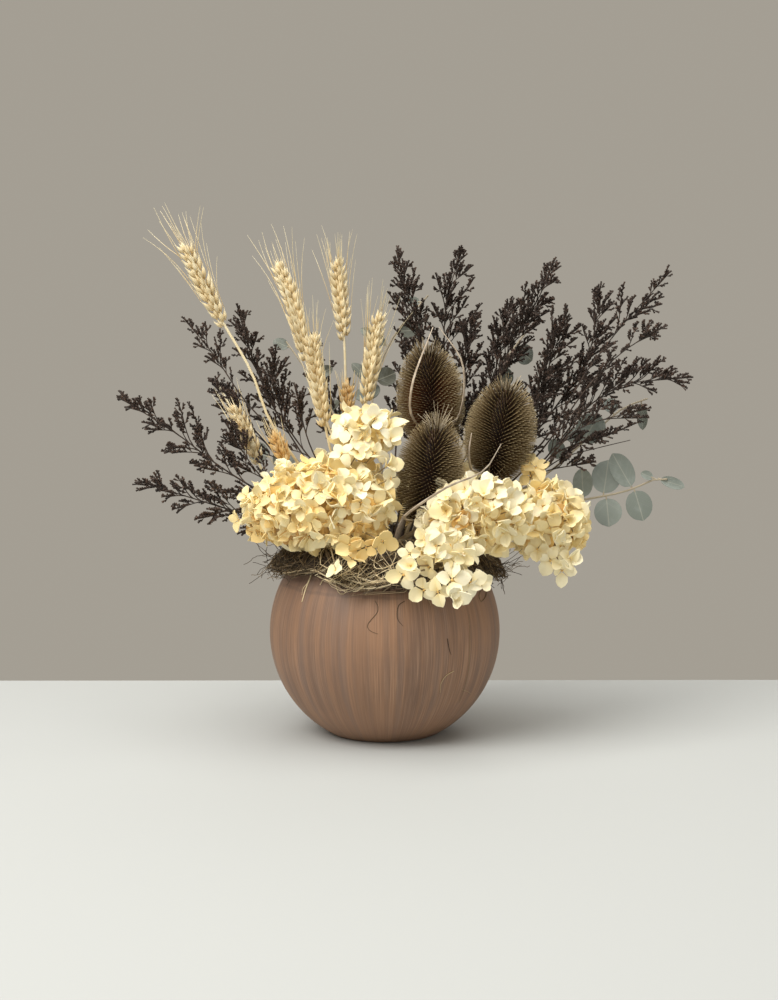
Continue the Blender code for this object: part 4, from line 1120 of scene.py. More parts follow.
def spray(number):
    leaves_foam, places, plume = metres(LIMONIUM[number])
    rng = np.random.default_rng(300 + number)
    stem = stem_route(leaves_foam, places)
    tips = [np.array(tip) for tip in metres(BRANCH_TIPS.get(number, ()))]
    tips.extend(filler_tips(number, stem, plume, rng))
    earliest = max(stem.length - plume * 1.5, 0.05)
    bunch = Bunch()
    lay_stem(bunch, stem, 0.0, stem.length, 0.0010, 0.00035, 0.3, 0.0, sides=6, rings=26)
    branches = [branch_route(stem, tip, earliest) for tip in tips]
    top = Route(stem.at(np.linspace(stem.length - 0.030, stem.length, 8)))
    up_side = unit(UPWARDS + stem.ahead(stem.length * 0.8) * 0.6)
    feet, ups, twigs = [], [], []
    for line in [*branches, top]:
        twigs.extend(twigs_along(line, up_side, rng))
        cups_along(line, line.length * 0.42, up_side, rng, feet, ups)
    for line, side in twigs:
        cups_along(line, 0.0012, side + UPWARDS * 0.8, rng, feet, ups)
    lay_twigs(bunch, branches, 7, (0.00050, 0.00022), 4, rng.uniform(0.2, 0.5, len(branches)))
    lay_twigs(bunch, [line for line, _ in twigs], 3, (0.00026, 0.00018), 3, rng.uniform(0.2, 0.5, len(twigs)))
    if number in BARE_TWIGS:
        bare = metres(BARE_TWIGS[number])
        lay_twigs(bunch, [Route(smooth_route([bare[0], *bare], 6))], 12, (0.00055, 0.00030), 5, [0.6])
    feet, ups = np.concatenate(feet), np.concatenate(ups)
    long = rng.uniform(0.0022, 0.0032, len(feet))
    wide = rng.uniform(0.00150, 0.00215, len(feet))
    shades = np.clip(rng.beta(2.0, 3.0, len(feet)), 0, 1)
    scatter(bunch, cup_shape, feet, ups, np.stack([wide, wide, long], axis=-1), shades, 1.0,
            turn=rng.uniform(0, 6.28, len(feet)))
    hand_over(bunch.piece(f"limonium_{number}_spray"), f"limonium_{number}", dark)


for spray_number in LIMONIUM:
    spray(spray_number)

# %% [markdown]
# ## Teasels
# A teasel head is an egg-shaped core covered in stiff bristles. They stand in spiral rows, because
# each new one grows a golden angle round from the last. On the sides they point outwards and curve
# up, and at the top they close into a pale tuft. Long thin bracts curve up from the head's foot.

# %% The teasels' stems, heads and bracts
# Each teasel: where it leaves the foam, the places it passes, its head's length and radius, and
# the places that each of its long bracts passes
TEASELS = {
    1: ((10, 10), ((26, 12, 190), (37, 12, 226), (33, 14, 306)), 78, 24.5, (((20, -10, 252), (22, -18, 278),
        (37, -14, 318)), ((58, -4, 250), (60, -12, 290), (42, -10, 318)), ((30, 40, 246), (26, 44, 275),
        (30, 38, 300)))),
    2: ((11, -35), ((26, -42, 166), (41, -48, 250)), 80, 24.5, (((14, -74, 178), (46, -98, 203),
        (72, -94, 214), (85, -86, 233)), ((32, -14, 190), (36, -10, 215), (40, -18, 240)))),
    3: ((27, -6), ((60, -9, 180), (82, -8, 204), (97, -6, 277)), 75, 25.5, (((66, -30, 210), (64, -36, 224),
        (66, -34, 238)), ((95, 20, 222), (105, 26, 248), (113, 18, 272)))),
}
# How red a head's core is, and how long the pale bristles of the tuft on its top are
TEASEL_LOOKS = {1: (0.66, 10), 2: (0.1, 21.5), 3: (0.18, 11)}
# The head's width from its foot to its top, and how steeply its bristles rise there
TEASEL_SHAPE = ((0.0, 0.30), (0.03, 0.52), (0.12, 0.78), (0.28, 0.95), (0.48, 1.0), (0.68, 0.92),
                (0.86, 0.70), (1.0, 0.30))
BRISTLE_RISE = ((0.0, -0.30), (0.15, -0.10), (0.5, 0.03), (0.8, 0.30), (0.93, 0.75), (1.0, 1.25))
GOLDEN_ANGLE = math.pi * (3 - math.sqrt(5))
BRISTLES = 1500
BRISTLE_RADII = (0.00052, 0.00042, 0.00017)
SHORTEST_BRISTLE = 0.0078
TUFT = 30
CORE_SHARE = 0.56
CORE_LENGTH = 0.90
BRACT_RADII = ((0, 0.0014), (0.15, 0.00115), (0.6, 0.0010), (1.0, 0.00035))
SMALL_BRACTS = 10
SMALL_BRACT_RADII = ((0, 0.0010), (0.4, 0.0007), (1.0, 0.00015))

put_down()
bpy.ops.mesh.primitive_uv_sphere_add(segments=24, ring_count=18, radius=1.0)
core = bpy.context.object
edit(core)
bpy.ops.transform.resize(value=(1.0, 1.0, 0.5))
bpy.ops.transform.translate(value=(0, 0, 0.5))
choose(core, lambda c: c.z > 0.55)
bpy.ops.transform.resize(value=(0.86, 0.86, 1.0), center_override=(0, 0, 0.5))
core_shape = put_away(core)

spiny, spiny_shader, place = new_material("teasel_bristle")
shade, along, kind = growth_of(place)
dry = place.noise(180.0, 2.0, 0.6)
# The bristles are near black at their feet and pale at their tips: partly their own colour, partly painted
# shade deep in the head
bristle = along.ramp((0.0, (0.012, 0.006, 0.003)), (0.30, (0.042, 0.024, 0.010)),
                     (0.60, (0.122, 0.080, 0.033)), (0.86, (0.245, 0.180, 0.088)),
                     (1.0, (0.420, 0.335, 0.190)))
bristle = (shade.between(0.42, 0.0) * along.between(0.85, 0.25) * 0.90).mix(bristle, (0.140, 0.034, 0.010))
bristle = (shade.between(0.80, 1.0) * along.between(0.0, 0.35) * 0.70).mix(bristle, (0.560, 0.480, 0.350))
rest = dry.between(0.35, 0.70).mix((0.400, 0.320, 0.240), (0.620, 0.530, 0.420))
core_colour = dry.between(0.35, 0.65).mix((0.020, 0.009, 0.006), (0.060, 0.025, 0.014))
connect(spiny_shader, by_kind(kind, core_colour, rest, bristle), 0.60, dry, 0.2, 0.0003)
spiny_shader.inputs["Specular IOR Level"].default_value = 0.25


def bristles(bunch, route, neck, core_length, head_radius, redness, rng):
    """Stiff hairs all over the core, each a golden angle round from the last."""
    shares, widths = np.array(TEASEL_SHAPE).T
    fine = np.linspace(0, 1, 200)
    area = np.cumsum(np.interp(fine, shares, widths))
    number = np.arange(BRISTLES)
    share = np.interp((number + 0.5) / BRISTLES * area[-1], area, fine)
    width = np.interp(share, shares, widths)
    reach = neck + core_length * share * 0.985
    ahead = route.ahead(reach)
    out = round_about(ahead, number * GOLDEN_ANGLE)
    start = route.at(reach) + out * (head_radius * CORE_SHARE * width * 0.92)[:, None]
    lift = np.interp(share, *zip(*BRISTLE_RISE)) + rng.normal(0, 0.015, BRISTLES)
    aim = out * np.cos(lift)[:, None] + ahead * np.sin(lift)[:, None]
    reach_out = head_radius * (width * (1 - CORE_SHARE * 0.92) + 0.10)
    length = np.maximum(reach_out, SHORTEST_BRISTLE) / np.maximum(np.cos(lift * 0.75), 0.60)
    length = (length * rng.uniform(1.00, 1.09, BRISTLES))[:, None, None]
    t = np.linspace(0, 1, 3)[None, :, None]
    routes = start[:, None] + (aim[:, None] * t + ahead[:, None] * 0.07 * t ** 2) * length
    shades = np.interp(share, (0.0, 0.8, 1.0), (0.50, 0.62, 0.90)) + rng.normal(0, 0.05, BRISTLES)
    shades = np.clip(shades - redness * np.interp(share, (0.1, 0.6, 0.9), (1.0, 0.8, 0.0)), 0, 1)
    lay_rods(bunch, routes, BRISTLE_RADII, 3, shades, 1.0)


def teasel(number):
    leaves_foam, places, head_length, head_radius, bracts = metres(TEASELS[number])
    redness, tuft_length = TEASEL_LOOKS[number]
    rng = np.random.default_rng(500 + number)
    route = stem_route(leaves_foam, places)
    neck = route.length - head_length
    foot = route.at(neck)
    bunch = Bunch()
    lay_stem(bunch, route, 0.0, neck + 0.004, 0.0024, 0.0022, 0.5, 0.5, sides=10)
    corners, loops, sizes = core_shape
    core_length = head_length * CORE_LENGTH
    reach = neck + core_length * corners[:, 2]
    across, deep = sides_of(route.ahead(reach))
    wide = head_radius * CORE_SHARE
    skin = route.at(reach) + across * corners[:, 0:1] * wide - deep * corners[:, 1:2] * wide
    bunch.add(skin[None], loops, sizes, 0.3, 0.2, 0.0)
    bristles(bunch, route, neck, core_length, head_radius, redness, rng)
    top = neck + core_length * 0.97
    spread = unit(route.ahead(top) + rng.normal(0, 0.50, (TUFT, 3)))
    far = spread * (metres(tuft_length) * rng.uniform(0.65, 1.10, (TUFT, 1)))
    t = np.linspace(0, 1, 3)[None, :, None]
    tuft = route.at(top) + far[:, None] * t
    lay_rods(bunch, tuft, np.linspace(0.00036, 0.00014, 3), 3, np.full(TUFT, 1.0), 1.0)
    for bract in bracts:
        below = tuple(foot * 2 - np.array(bract[0]))
        line = Route(smooth_route([below, tuple(foot), *bract], 8))
        thick = np.interp(np.linspace(0, 1, 16), *zip(*BRACT_RADII))
        lay_rods(bunch, line.spaced(16)[None], thick[None], 6, [0.5], 0.5, flat=0.6)
    ahead = route.ahead(neck)
    t = np.linspace(0, 1, 6)[:, None]
    thick = np.interp(t[:, 0], *zip(*SMALL_BRACT_RADII))
    for k in range(SMALL_BRACTS):
        out = round_about(ahead, k * 2 * math.pi / SMALL_BRACTS + rng.uniform(-0.2, 0.2))
        span = rng.uniform(0.013, 0.022)
        line = foot + out * span * (t - 0.25 * t ** 2) + ahead * span * 0.55 * t ** 2
        lay_rods(bunch, line[None], thick[None], 4, [0.4], 0.5, flat=0.6)
    hand_over(bunch.piece(f"teasel_{number}_head_and_stem"), f"teasel_{number}", spiny)


for teasel_number in TEASELS:
    teasel(teasel_number)

# %% [markdown]
# ## Hydrangeas
# A hydrangea head is a ball of small flowers, each with four papery petals on a thin stalk. The
# petal is a round face, poked so that it can cup, narrowed at its foot, drawn out a little at its
# tip, and given a paper's thickness. The petal of the outer flowers is inset too, for a rounder
# cup, and that of the inner flowers, which hardly show, has fewer faces. Every copy is then cupped,
# curled and twisted by its own amounts, because dried petals never match.

# %% One petal
def petal_shape(corner_count, rounded):
    put_down()
    bpy.ops.mesh.primitive_circle_add(vertices=corner_count, radius=0.5, fill_type="NGON")
    petal = bpy.context.object
    edit(petal)
    if rounded:
        bpy.ops.mesh.inset(thickness=0.17, depth=0)
    bpy.ops.mesh.poke()
    bpy.ops.mesh.select_all(action="SELECT")
    bpy.ops.transform.translate(value=(0, 0.5, 0))
    choose(petal, lambda c: c.y > 0.97)
    bpy.ops.transform.translate(value=(0, 0.06, 0))
    choose(petal, lambda c: c.y < 0.10)
    bpy.ops.transform.resize(value=(0.55, 1.0, 1.0), center_override=(0, 0, 0))
    finish_with(petal, "SOLIDIFY", thickness=0.045, offset=0.0)
    return put_away(petal)


outer_petal, inner_petal = petal_shape(10, True), petal_shape(8, False)

put_down()
bpy.ops.mesh.primitive_ico_sphere_add(subdivisions=1, radius=0.5)
eye = bpy.context.object
edit(eye)
bpy.ops.transform.resize(value=(1.0, 1.0, 0.8))
eye_shape = put_away(eye)
put_down()
bpy.ops.mesh.primitive_ico_sphere_add(subdivisions=3, radius=1.0)
heart = bpy.context.object
buds = bpy.data.textures.new("heart_buds", "CLOUDS")
buds.noise_scale = 0.28
finish_with(heart, "DISPLACE", texture=buds, strength=0.34, mid_level=0.6, texture_coords="LOCAL")
heart_shape = put_away(heart)
print("petals", len(outer_petal[2]), "and", len(inner_petal[2]), "faces, heart", len(heart_shape[2]))

# %% [markdown]
# The heads' lobes are those of the CAD model. In the first lobe of each head is a lumpy golden
# heart, whose golden is painted shade, the colour seen deep between the flowers. Two layers of
# flowers cover each lobe: an inner one, deeper and more golden, its golden painted shade deep in the
# head, and an outer one, spread evenly by the golden angle. Flowers that face down are painted
# deeper as well, for the shade under the heads. A few loose flowers lie or hang where the
# photograph shows them one by one. Light shines through thin dried petals, which a faint glow
# stands for.

# %% The heads
# Each head: where its stem leaves the foam, the places it passes, and the middle and half sizes of
# each lobe
HYDRANGEAS = {
    1: ((-18, -20), ((-32, -36, 172),), (((-47, -50, 185), (56, 40, 34)), ((-86, -42, 173), (21, 22, 20)))),
    2: ((-7, -14), ((-12, -12, 195), (-17, -30, 226)), (((-14, -40, 239), (25, 17, 20)),)),
    3: ((24, -26), ((44, -46, 170),), (((69, -62, 179), (39, 32, 28)), ((43, -88, 150), (24, 18, 24)))),
    4: ((36, -13), ((72, -20, 166), (100, -22, 170)), (((125, -21, 169), (31, 31, 31)),)),
    5: ((-18, 30), ((-30, 44, 172),), (((-38, 62, 182), (44, 34, 32)),)),
    6: ((18, 32), ((30, 46, 170),), (((48, 64, 178), (40, 32, 30)),)),
}

# Each layer of flowers: how deep it lies in the lobe, its spacing, its shade, its tilt and its petal. The
# inner layer's deeper, more golden shade is painted shade deep in the head.
LAYERS = ((0.0115, 0.0122, 0.66, 0.30, inner_petal), (0.0055, 0.0099, 0.30, 0.52, outer_petal))
PETAL_LENGTHS = (0.0082, 0.0112)
HEART_DEPTH = 0.0145
# The heart stays above this height where it is over the vase's mouth
HEART_FOOT = 0.1545
MOUTH_REACH = 0.092
# Under this height, where the heads hang over the rim, the flowers stand apart
THIN_BELOW = 0.146
THIN_SHARE = 0.30
COLLAR_TOP = 0.150
STALK_RADII = (0.0009, 0.00045)
PALENESS = {1: 0.03, 2: 0.05, 3: 0.14, 4: 0.10, 5: 0.06, 6: 0.08}

# Loose flowers: the middle, which way it faces, how long a petal is and how deep its colour is
LOOSE_FLOWERS = {
    1: (((-105, -42, 189.8), (-0.7, -0.8, 0.3), 8.5, 0.34), ((-111, -40, 172), (-0.8, -0.6, 0.0), 8, 0.44),
        ((-36, -88, 140), (-0.9, -0.5, 0.6), 8.5, 0.2), ((-24, -86, 148), (0.2, -0.5, 0.9), 9, 0.45),
        ((-32, -62, 224), (-0.2, -0.8, 0.6), 10.5, 0.2), ((-20, -60, 225), (0.0, -0.8, 0.6), 10, 0.3),
        ((-8, -60, 224), (0.3, -0.8, 0.5), 10.5, 0.12), ((2, -60, 215), (0.5, -0.8, 0.4), 10, 0.25),
        ((4, -68, 206), (0.7, -0.8, 0.1), 10, 0.15), ((-26, -88, 159), (-0.1, -1.0, -0.4), 10, 0.62),
        ((-14, -86, 157), (0.2, -1.0, -0.5), 10, 0.7), ((-2, -83, 161), (0.4, -1.0, -0.2), 10, 0.55)),
    2: (((-7.6, -56, 249.6), (0.15, -1.0, 0.35), 10.5, 0.02), ((-29, -52, 242),
        (-0.2, -1.0, 0.4), 10, 0.04), ((4, -56, 235), (0.6, -0.9, 0.3), 9.5, 0.06), ((-17, -54, 235),
        (-0.1, -1.0, 0.3), 10, 0.06)),
    3: (((18.7, -106, 145.7), (-0.1, -1.0, 0.25), 10.5, 0.08), ((28.2, -104, 127.8),
        (-0.2, -1.0, -0.1), 10.5, 0.2), ((13.7, -100, 138.3), (-0.4, -1.0, 0.1), 11, 0.18),
        ((48.4, -108, 135.7), (0.1, -1.0, 0.25), 12.5, 0.03), ((51.3, -108, 123.5),
        (0.1, -1.0, -0.1), 11, 0.06), ((61.7, -104, 133.7), (0.4, -1.0, 0.1), 10.5, 0.12),
        ((38.3, -108, 127), (-0.1, -1.0, 0.0), 10, 0.2), ((36.9, -103, 160), (-0.2, -1.0, 0.2), 10, 0.14),
        ((29.5, -100, 164), (-0.6, -1.0, 0.4), 9.5, 0.3), ((56.6, -102, 153.5),
        (0.2, -1.0, -0.1), 10.5, 0.22), ((44.9, -103, 152.5), (0.0, -1.0, -0.3), 9.5, 0.34),
        ((18, -100, 154), (-0.5, -1.0, 0.3), 8.5, 0.16), ((70.6, -100, 133.1),
        (0.5, -1.0, 0.2), 9.5, 0.14)),
    4: (((134.8, -43, 133.5), (0.1, -1.0, -0.1), 10.5, 0.1), ((125.8, -45, 141.5),
        (-0.2, -1.0, 0.0), 10, 0.16), ((116, -44, 150), (-0.3, -1.0, 0.1), 10, 0.22), ((140.5, -40, 143),
        # The last three flowers stand behind the third teasel, and their deeper colour is painted shade
        (0.4, -0.9, 0.0), 10, 0.14), ((151, -36, 180), (0.7, -0.7, 0.2), 10.5, 0.45), ((110.5, -8, 214),
        (-0.2, -0.6, 0.8), 10, 0.54), ((117, -8, 209), (0.3, -0.7, 0.7), 10, 0.48), ((113, -10, 203),
        (0.0, -1.0, 0.3), 10, 0.46)),
}

cream, cream_shader, place = new_material("cream_petal")
shade, along, kind = growth_of(place)
spot, (spot_x, spot_y, spot_seed) = spot_of(place)
fan_x = spot_x / (spot_y + 0.35) * 9.0
fan = spot.node("ShaderNodeCombineXYZ", {}, {0: fan_x, 1: spot_y * 1.2, 2: spot_seed * 40.0})
veins = fan.noise(1.6, 3.0, 0.6)
blotch = place.noise(75.0, 3.0, 0.6)
# From pale cream to brown by the shade: the petals' own tones, and the painted shade of the inner layer and
# of the flowers that face down
cream_colour = shade.ramp((0.0, (0.890, 0.830, 0.620)), (0.30, (0.880, 0.770, 0.460)),
                          (0.60, (0.890, 0.680, 0.290)), (0.85, (0.780, 0.500, 0.170)),
                          (1.0, (0.500, 0.290, 0.100)))
# Golden towards each petal's foot: partly the petal's own colour, partly painted shade at the flower's middle
cream_colour = (along.between(0.45, 0.0) * 0.45).mix(cream_colour, (0.840, 0.640, 0.230))
cream_colour = (veins.between(0.52, 0.74) * 0.16).mix(cream_colour, (0.780, 0.640, 0.360))
cream_colour = (blotch.between(0.55, 0.75) * 0.22).mix(cream_colour, (0.880, 0.740, 0.420))
# The flowers' eyes and the heart share this colour: the eyes' own golden, and on the heart painted shade seen
# deep between the flowers
eye_and_recess_shade_colour = blotch.mix((0.800, 0.540, 0.190), (0.600, 0.350, 0.100))
stalk_colour = blotch.mix((0.150, 0.100, 0.050), (0.340, 0.250, 0.120))
head_colour = by_kind(kind, stalk_colour, eye_and_recess_shade_colour, cream_colour)
connect(cream_shader, head_colour, 0.55, veins, 0.35, 0.0005)
cream_shader.id_data.links.new(head_colour.socket, cream_shader.inputs["Emission Color"])
cream_shader.inputs["Emission Strength"].default_value = 0.055


def flowers(bunch, petal, places, faces, petal_lengths, shades, rng):
    """Four-petalled flowers: each petal is bent in its own way, tilted, turned and put in place."""
    petal_corners, petal_loops, petal_sizes = petal
    count = len(places)
    one = (count, 1)
    faces = unit(faces)
    across, deep = square_to(faces)
    spin = rng.uniform(0, 2 * math.pi, count)
    mood = rng.random(count)
    for k in range(4):
        x, y, z = petal_corners.T[:, None]
        cup = rng.uniform(-0.1, 0.85, one)
        curl = rng.normal(0.08, 0.28, one) - 0.35 * (mood[:, None] > 0.78)
        fold = rng.uniform(0.5, 1.1, one) * (rng.random(one) < 0.12)
        ruffle = rng.uniform(0.0, 0.11, one)
        phase = rng.uniform(0, 6.28, one)
        z = z + cup * x ** 2 + curl * y ** 2 + fold * np.abs(x) + ruffle * np.sin(7 * x + phase) * y
        twist = rng.normal(0, 0.25, one) * y
        width = rng.uniform(0.84, 1.08, one)
        x, z = x * width * np.cos(twist) - z * np.sin(twist), x * width * np.sin(twist) + z * np.cos(twist)
        lift = rng.normal(0.24, 0.22, one) + 0.45 * (mood[:, None] < 0.20)
        y, z = (y + 0.10) * np.cos(lift) - z * np.sin(lift), (y + 0.10) * np.sin(lift) + z * np.cos(lift)
        size = petal_lengths[:, None] * rng.uniform(0.78, 1.14, one)
        angle = spin[:, None] + k * math.pi / 2 + rng.normal(0, 0.10, one)
        x, y = (x * np.cos(angle) - y * np.sin(angle)) * size, (x * np.sin(angle) + y * np.cos(angle)) * size
        spots = (places[:, None] + x[..., None] * across[:, None] + y[..., None] * deep[:, None]
                 + (z * size)[..., None] * faces[:, None])
        local = np.empty(spots.shape)
        local[..., :2] = petal_corners[:, :2]
        local[..., 2] = rng.random(one)
        own = np.clip(shades + rng.normal(0, 0.05, count), 0, 1)
        bunch.add(spots, petal_loops, petal_sizes, own[:, None], petal_corners[None, :, 1], 1.0, local)
    scatter(bunch, eye_shape, places + faces * petal_lengths[:, None] * 0.07, faces,
            petal_lengths * 0.20, rng.random(count), 0.5)


def spread_over(centre, half_sizes, spacing, rng):
    """Places and outward directions spread evenly over an egg shape."""
    a, b, c = half_sizes
    area = 4 * math.pi * (((a * b) ** 1.6 + (a * c) ** 1.6 + (b * c) ** 1.6) / 3) ** (1 / 1.6)
    count = max(8, int(area / spacing ** 2))
    i = np.arange(count) + 0.5
    up = 1 - 2 * i / count
    around = i * GOLDEN_ANGLE + rng.uniform(0, 6.28)
    ring = np.sqrt(1 - up ** 2)
    ball = np.stack([ring * np.cos(around), ring * np.sin(around), up], axis=-1)
    ball = unit(ball + rng.normal(0, 0.07, ball.shape))
    half = np.array(half_sizes)
    return np.array(centre) + ball * half, unit(ball / half)


def clear_of_vase(places, margin):
    """True where a flower's middle is outside the vase and above its collar."""
    out = np.hypot(places[:, 0], places[:, 1])
    ball = np.sqrt(out ** 2 + (places[:, 2] - BALL_CENTRE_Z) ** 2)
    return (ball > BALL_RADIUS + margin) & ((out > BALL_RADIUS) | (places[:, 2] > COLLAR_TOP + margin))


def flower_stalks(bunch, spots, lobes, rng):
    """A thin bent stalk from near the middle of the nearest lobe to each flower."""
    centres = np.array([centre for centre, _ in lobes])
    nearest = centres[np.argmin(np.linalg.norm(centres - spots[:, None], axis=-1), axis=1)]
    start = nearest + np.array([0, 0, -0.006]) + (spots - nearest) * 0.12
    bend = (start + spots) / 2 - unit(spots - nearest) * 0.003
    t = np.linspace(0, 1, 5)[None, :, None]
    lines = start[:, None] * (1 - t) ** 2 + 2 * bend[:, None] * t * (1 - t) + spots[:, None] * t ** 2
    lay_rods(bunch, lines, np.linspace(*STALK_RADII, 5), 4, rng.random(len(spots)), 0.0)


def hydrangea(number):
    leaves_foam, places, lobes = metres(HYDRANGEAS[number])
    rng = np.random.default_rng(700 + number)
    route = stem_route(leaves_foam, (*places, lobes[0][0]))
    bunch = Bunch()
    lay_stem(bunch, route, 0.0, route.length, 0.0022, 0.0018, 0.5, 0.0, sides=8)
    centre, half_sizes = lobes[0]
    skin = np.array(centre) + heart_shape[0] * (np.array(half_sizes) - HEART_DEPTH)
    over_mouth = np.hypot(skin[:, 0], skin[:, 1]) < MOUTH_REACH
    skin[:, 2] = np.where(over_mouth, np.maximum(skin[:, 2], HEART_FOOT), skin[:, 2])
    # The heart takes the golden of the flowers' eyes: painted shade, the colour seen deep between the flowers
    bunch.add(skin[None], heart_shape[1], heart_shape[2], 0.5, 0.5, 0.5)
    all_spots = []
    for depth, spacing, base, tilt, petal in LAYERS:
        for this, (centre, half_sizes) in enumerate(lobes):
            spots, faces = spread_over(centre, np.array(half_sizes) - depth, spacing, rng)
            keep = clear_of_vase(spots, 0.004)
            keep &= (spots[:, 2] > THIN_BELOW) | (rng.random(len(spots)) < THIN_SHARE)
            for other, (other_centre, other_half) in enumerate(lobes):
                if other != this:
                    inwards = (spots - other_centre) / (np.array(other_half) - depth)
                    keep &= np.linalg.norm(inwards, axis=-1) >= 0.92
            spots, faces = spots[keep], faces[keep]
            count = len(spots)
            spots = spots + faces * rng.normal(0, 0.0014, (count, 1))
            # Flowers that face down get a deeper colour: painted shade under the head
            painted_underside_shade = np.interp(faces[:, 2], (-0.8, 0.2), (0.20, 0.0))
            shades = np.clip(base - PALENESS[number] + painted_underside_shade + rng.normal(0, 0.13, count), 0, 1)
            faces = unit(faces + rng.normal(0, tilt, (count, 3)))
            flowers(bunch, petal, spots, faces, rng.uniform(*PETAL_LENGTHS, count), shades, rng)
            all_spots.append(spots)
    if number in LOOSE_FLOWERS:
        spots, faces, lengths, shades = (np.array(column) for column in zip(*LOOSE_FLOWERS[number]))
        flowers(bunch, outer_petal, spots / 1000, faces, lengths / 1000, shades, rng)
        all_spots.append(spots / 1000)
    flower_stalks(bunch, np.concatenate(all_spots), lobes, rng)
    hand_over(bunch.piece(f"hydrangea_{number}_head_and_stem"), f"hydrangea_{number}", cream)


for head_number in HYDRANGEAS:
    hydrangea(head_number)

# %% [markdown]
# ## Eucalyptus
# Silver-dollar eucalyptus has round, flat leaves in grey green, paired along a wiry stem. A leaf is
# a round face, inset twice so that it can dish and its midrib can sink, drawn in at its foot.

# %% One leaf
put_down()
bpy.ops.mesh.primitive_circle_add(vertices=24, radius=0.5, fill_type="NGON")
leaf = bpy.context.object
edit(leaf)
bpy.ops.mesh.inset(thickness=0.10, depth=0)
bpy.ops.mesh.inset(thickness=0.16, depth=0)
bpy.ops.mesh.poke()
bpy.ops.mesh.select_all(action="SELECT")
bpy.ops.transform.translate(value=(0, 0.5, 0))
choose(leaf, lambda c: c.y < 0.06)
bpy.ops.transform.resize(value=(0.60, 1.0, 1.0), center_override=(0, 0, 0))
choose(leaf, lambda c: c.y > 0.985)
bpy.ops.transform.translate(value=(0, 0.035, 0))
finish_with(leaf, "SOLIDIFY", thickness=0.030, offset=0.0)
leaf_corners, leaf_loops, leaf_sizes = put_away(leaf)

# %% The sprigs
# Each sprig: where it leaves the foam, the places it passes, and its leaves: how far along the
# stem, which way it points, its length and its width
EUCALYPTUS = {
    1: ((35, 24), ((80, 44, 172), (128, 56, 196), (166, 60, 228), (194, 62, 252), (214, 62, 260)), ((0.66,
        (-0.5, 0.2, 0.9), 19, 14), (0.74, (0.5, -0.2, 0.9), 28, 24), (0.74, (-0.2, 0.9, 0.5), 22, 20),
        (0.88, (-0.3, 0.2, 1.0), 14, 12), (0.98, (0.1, 0.2, -1.0), 24, 9))),
    2: ((41, 13), ((90, 20, 168), (128, 20, 176), (160, 10, 183), (189, 2, 190), (213, -3, 200.5),
        (220, -5, 200)), ((0.7, (-0.1, -0.2, 1.0), 26, 16), (0.77, (0.15, 0.1, 1.0), 28, 23), (0.78,
        (0.1, -0.2, -1.0), 24, 22), (0.875, (-0.5, 0.1, 0.85), 31, 18), (0.88, (0.3, -0.1, -1.0), 26, 21),
        (0.96, (-0.9, 0.1, 0.4), 12, 7), (0.97, (1.0, -0.1, -0.35), 21, 9))),
    3: ((-10, 24), ((-20, 34, 205), (-44, 62, 252), (-68, 80, 288), (-81, 88, 306)), ((0.6,
        (0.3, 0.9, 0.4), 22, 20), (0.66, (-0.3, 0.9, 0.3), 22, 20), (0.82, (0.9, 0.3, 0.5), 20, 10), (0.97,
        (-0.8, 0.3, 0.3), 16, 10))),
    4: ((1, 28), ((-3, 38, 210), (-10, 62, 262), (6, 82, 308), (36, 94, 344)), ((0.58,
        (-0.3, 0.9, 0.5), 24, 22), (0.64, (-0.8, 0.2, 0.75), 25, 10), (0.65, (0.8, 0.5, 0.3), 20, 16),
        (0.78, (-0.9, 0.1, 0.6), 27, 10), (0.84, (0.9, 0.3, 0.05), 22, 14), (0.97,
        (-0.9, 0.2, 0.1), 13, 8))),
    5: ((22, 26), ((46, 50, 212), (78, 78, 256), (98, 92, 288), (120, 102, 316)), ((0.62,
        (-0.2, 0.9, 0.5), 24, 22), (0.7, (0.8, 0.5, -0.3), 24, 22), (0.84, (0.2, 0.5, -0.9), 20, 16), (0.92,
        (0.7, 0.3, -0.5), 20, 17))),
    6: ((-34, 22), ((-58, 60, 168), (-78, 90, 184), (-92, 110, 200), (-101, 122, 214)), ((0.74,
        (0.6, 0.6, 0.5), 24, 20), (0.76, (-0.9, 0.2, -0.3), 26, 23), (0.86, (0.4, 0.5, 0.7), 22, 19), (0.95,
        (-0.8, 0.3, 0.3), 20, 18))),
}
LEAF_FACE = np.array([0.0, -1.0, 0.25])
LEAF_STALK = 0.0022
# The front sprigs' leaves are paler than those behind the flowers: the darker leaves behind are painted shade
LEAF_TONE_AND_PAINTED_SHADE = {1: 0.30, 2: 0.30, 3: 0.80, 4: 0.80, 5: 0.80, 6: 0.80}

leafy, leafy_shader, place = new_material("grey_green_leaf")
shade, along, kind = growth_of(place)
spot, (spot_x, spot_y, spot_seed) = spot_of(place)
side_way = spot_x.node("ShaderNodeMath", {"operation": "ABSOLUTE"}, {0: spot_x})
slanted = (spot_y - side_way * 0.8) * 16.0
vein_way = spot.node("ShaderNodeCombineXYZ", {}, {0: 0.0, 1: slanted, 2: spot_seed * 30.0})
leaf_veins = vein_way.noise(1.4, 2.0, 0.5)
bloom = place.noise(90.0, 3.0, 0.6)
leaf_colour = shade.ramp((0.0, (0.255, 0.285, 0.262)), (0.5, (0.170, 0.192, 0.165)),
                         (1.0, (0.095, 0.096, 0.070)))
leaf_colour = (bloom.between(0.45, 0.70) * 0.40).mix(leaf_colour, (0.300, 0.335, 0.310))
leaf_colour = (leaf_veins.between(0.52, 0.70) * 0.22).mix(leaf_colour, (0.330, 0.355, 0.310))
leaf_colour = (side_way.between(0.030, 0.008) * 0.5).mix(leaf_colour, (0.400, 0.400, 0.330))
wiry = bloom.mix((0.300, 0.240, 0.160), (0.420, 0.370, 0.270))
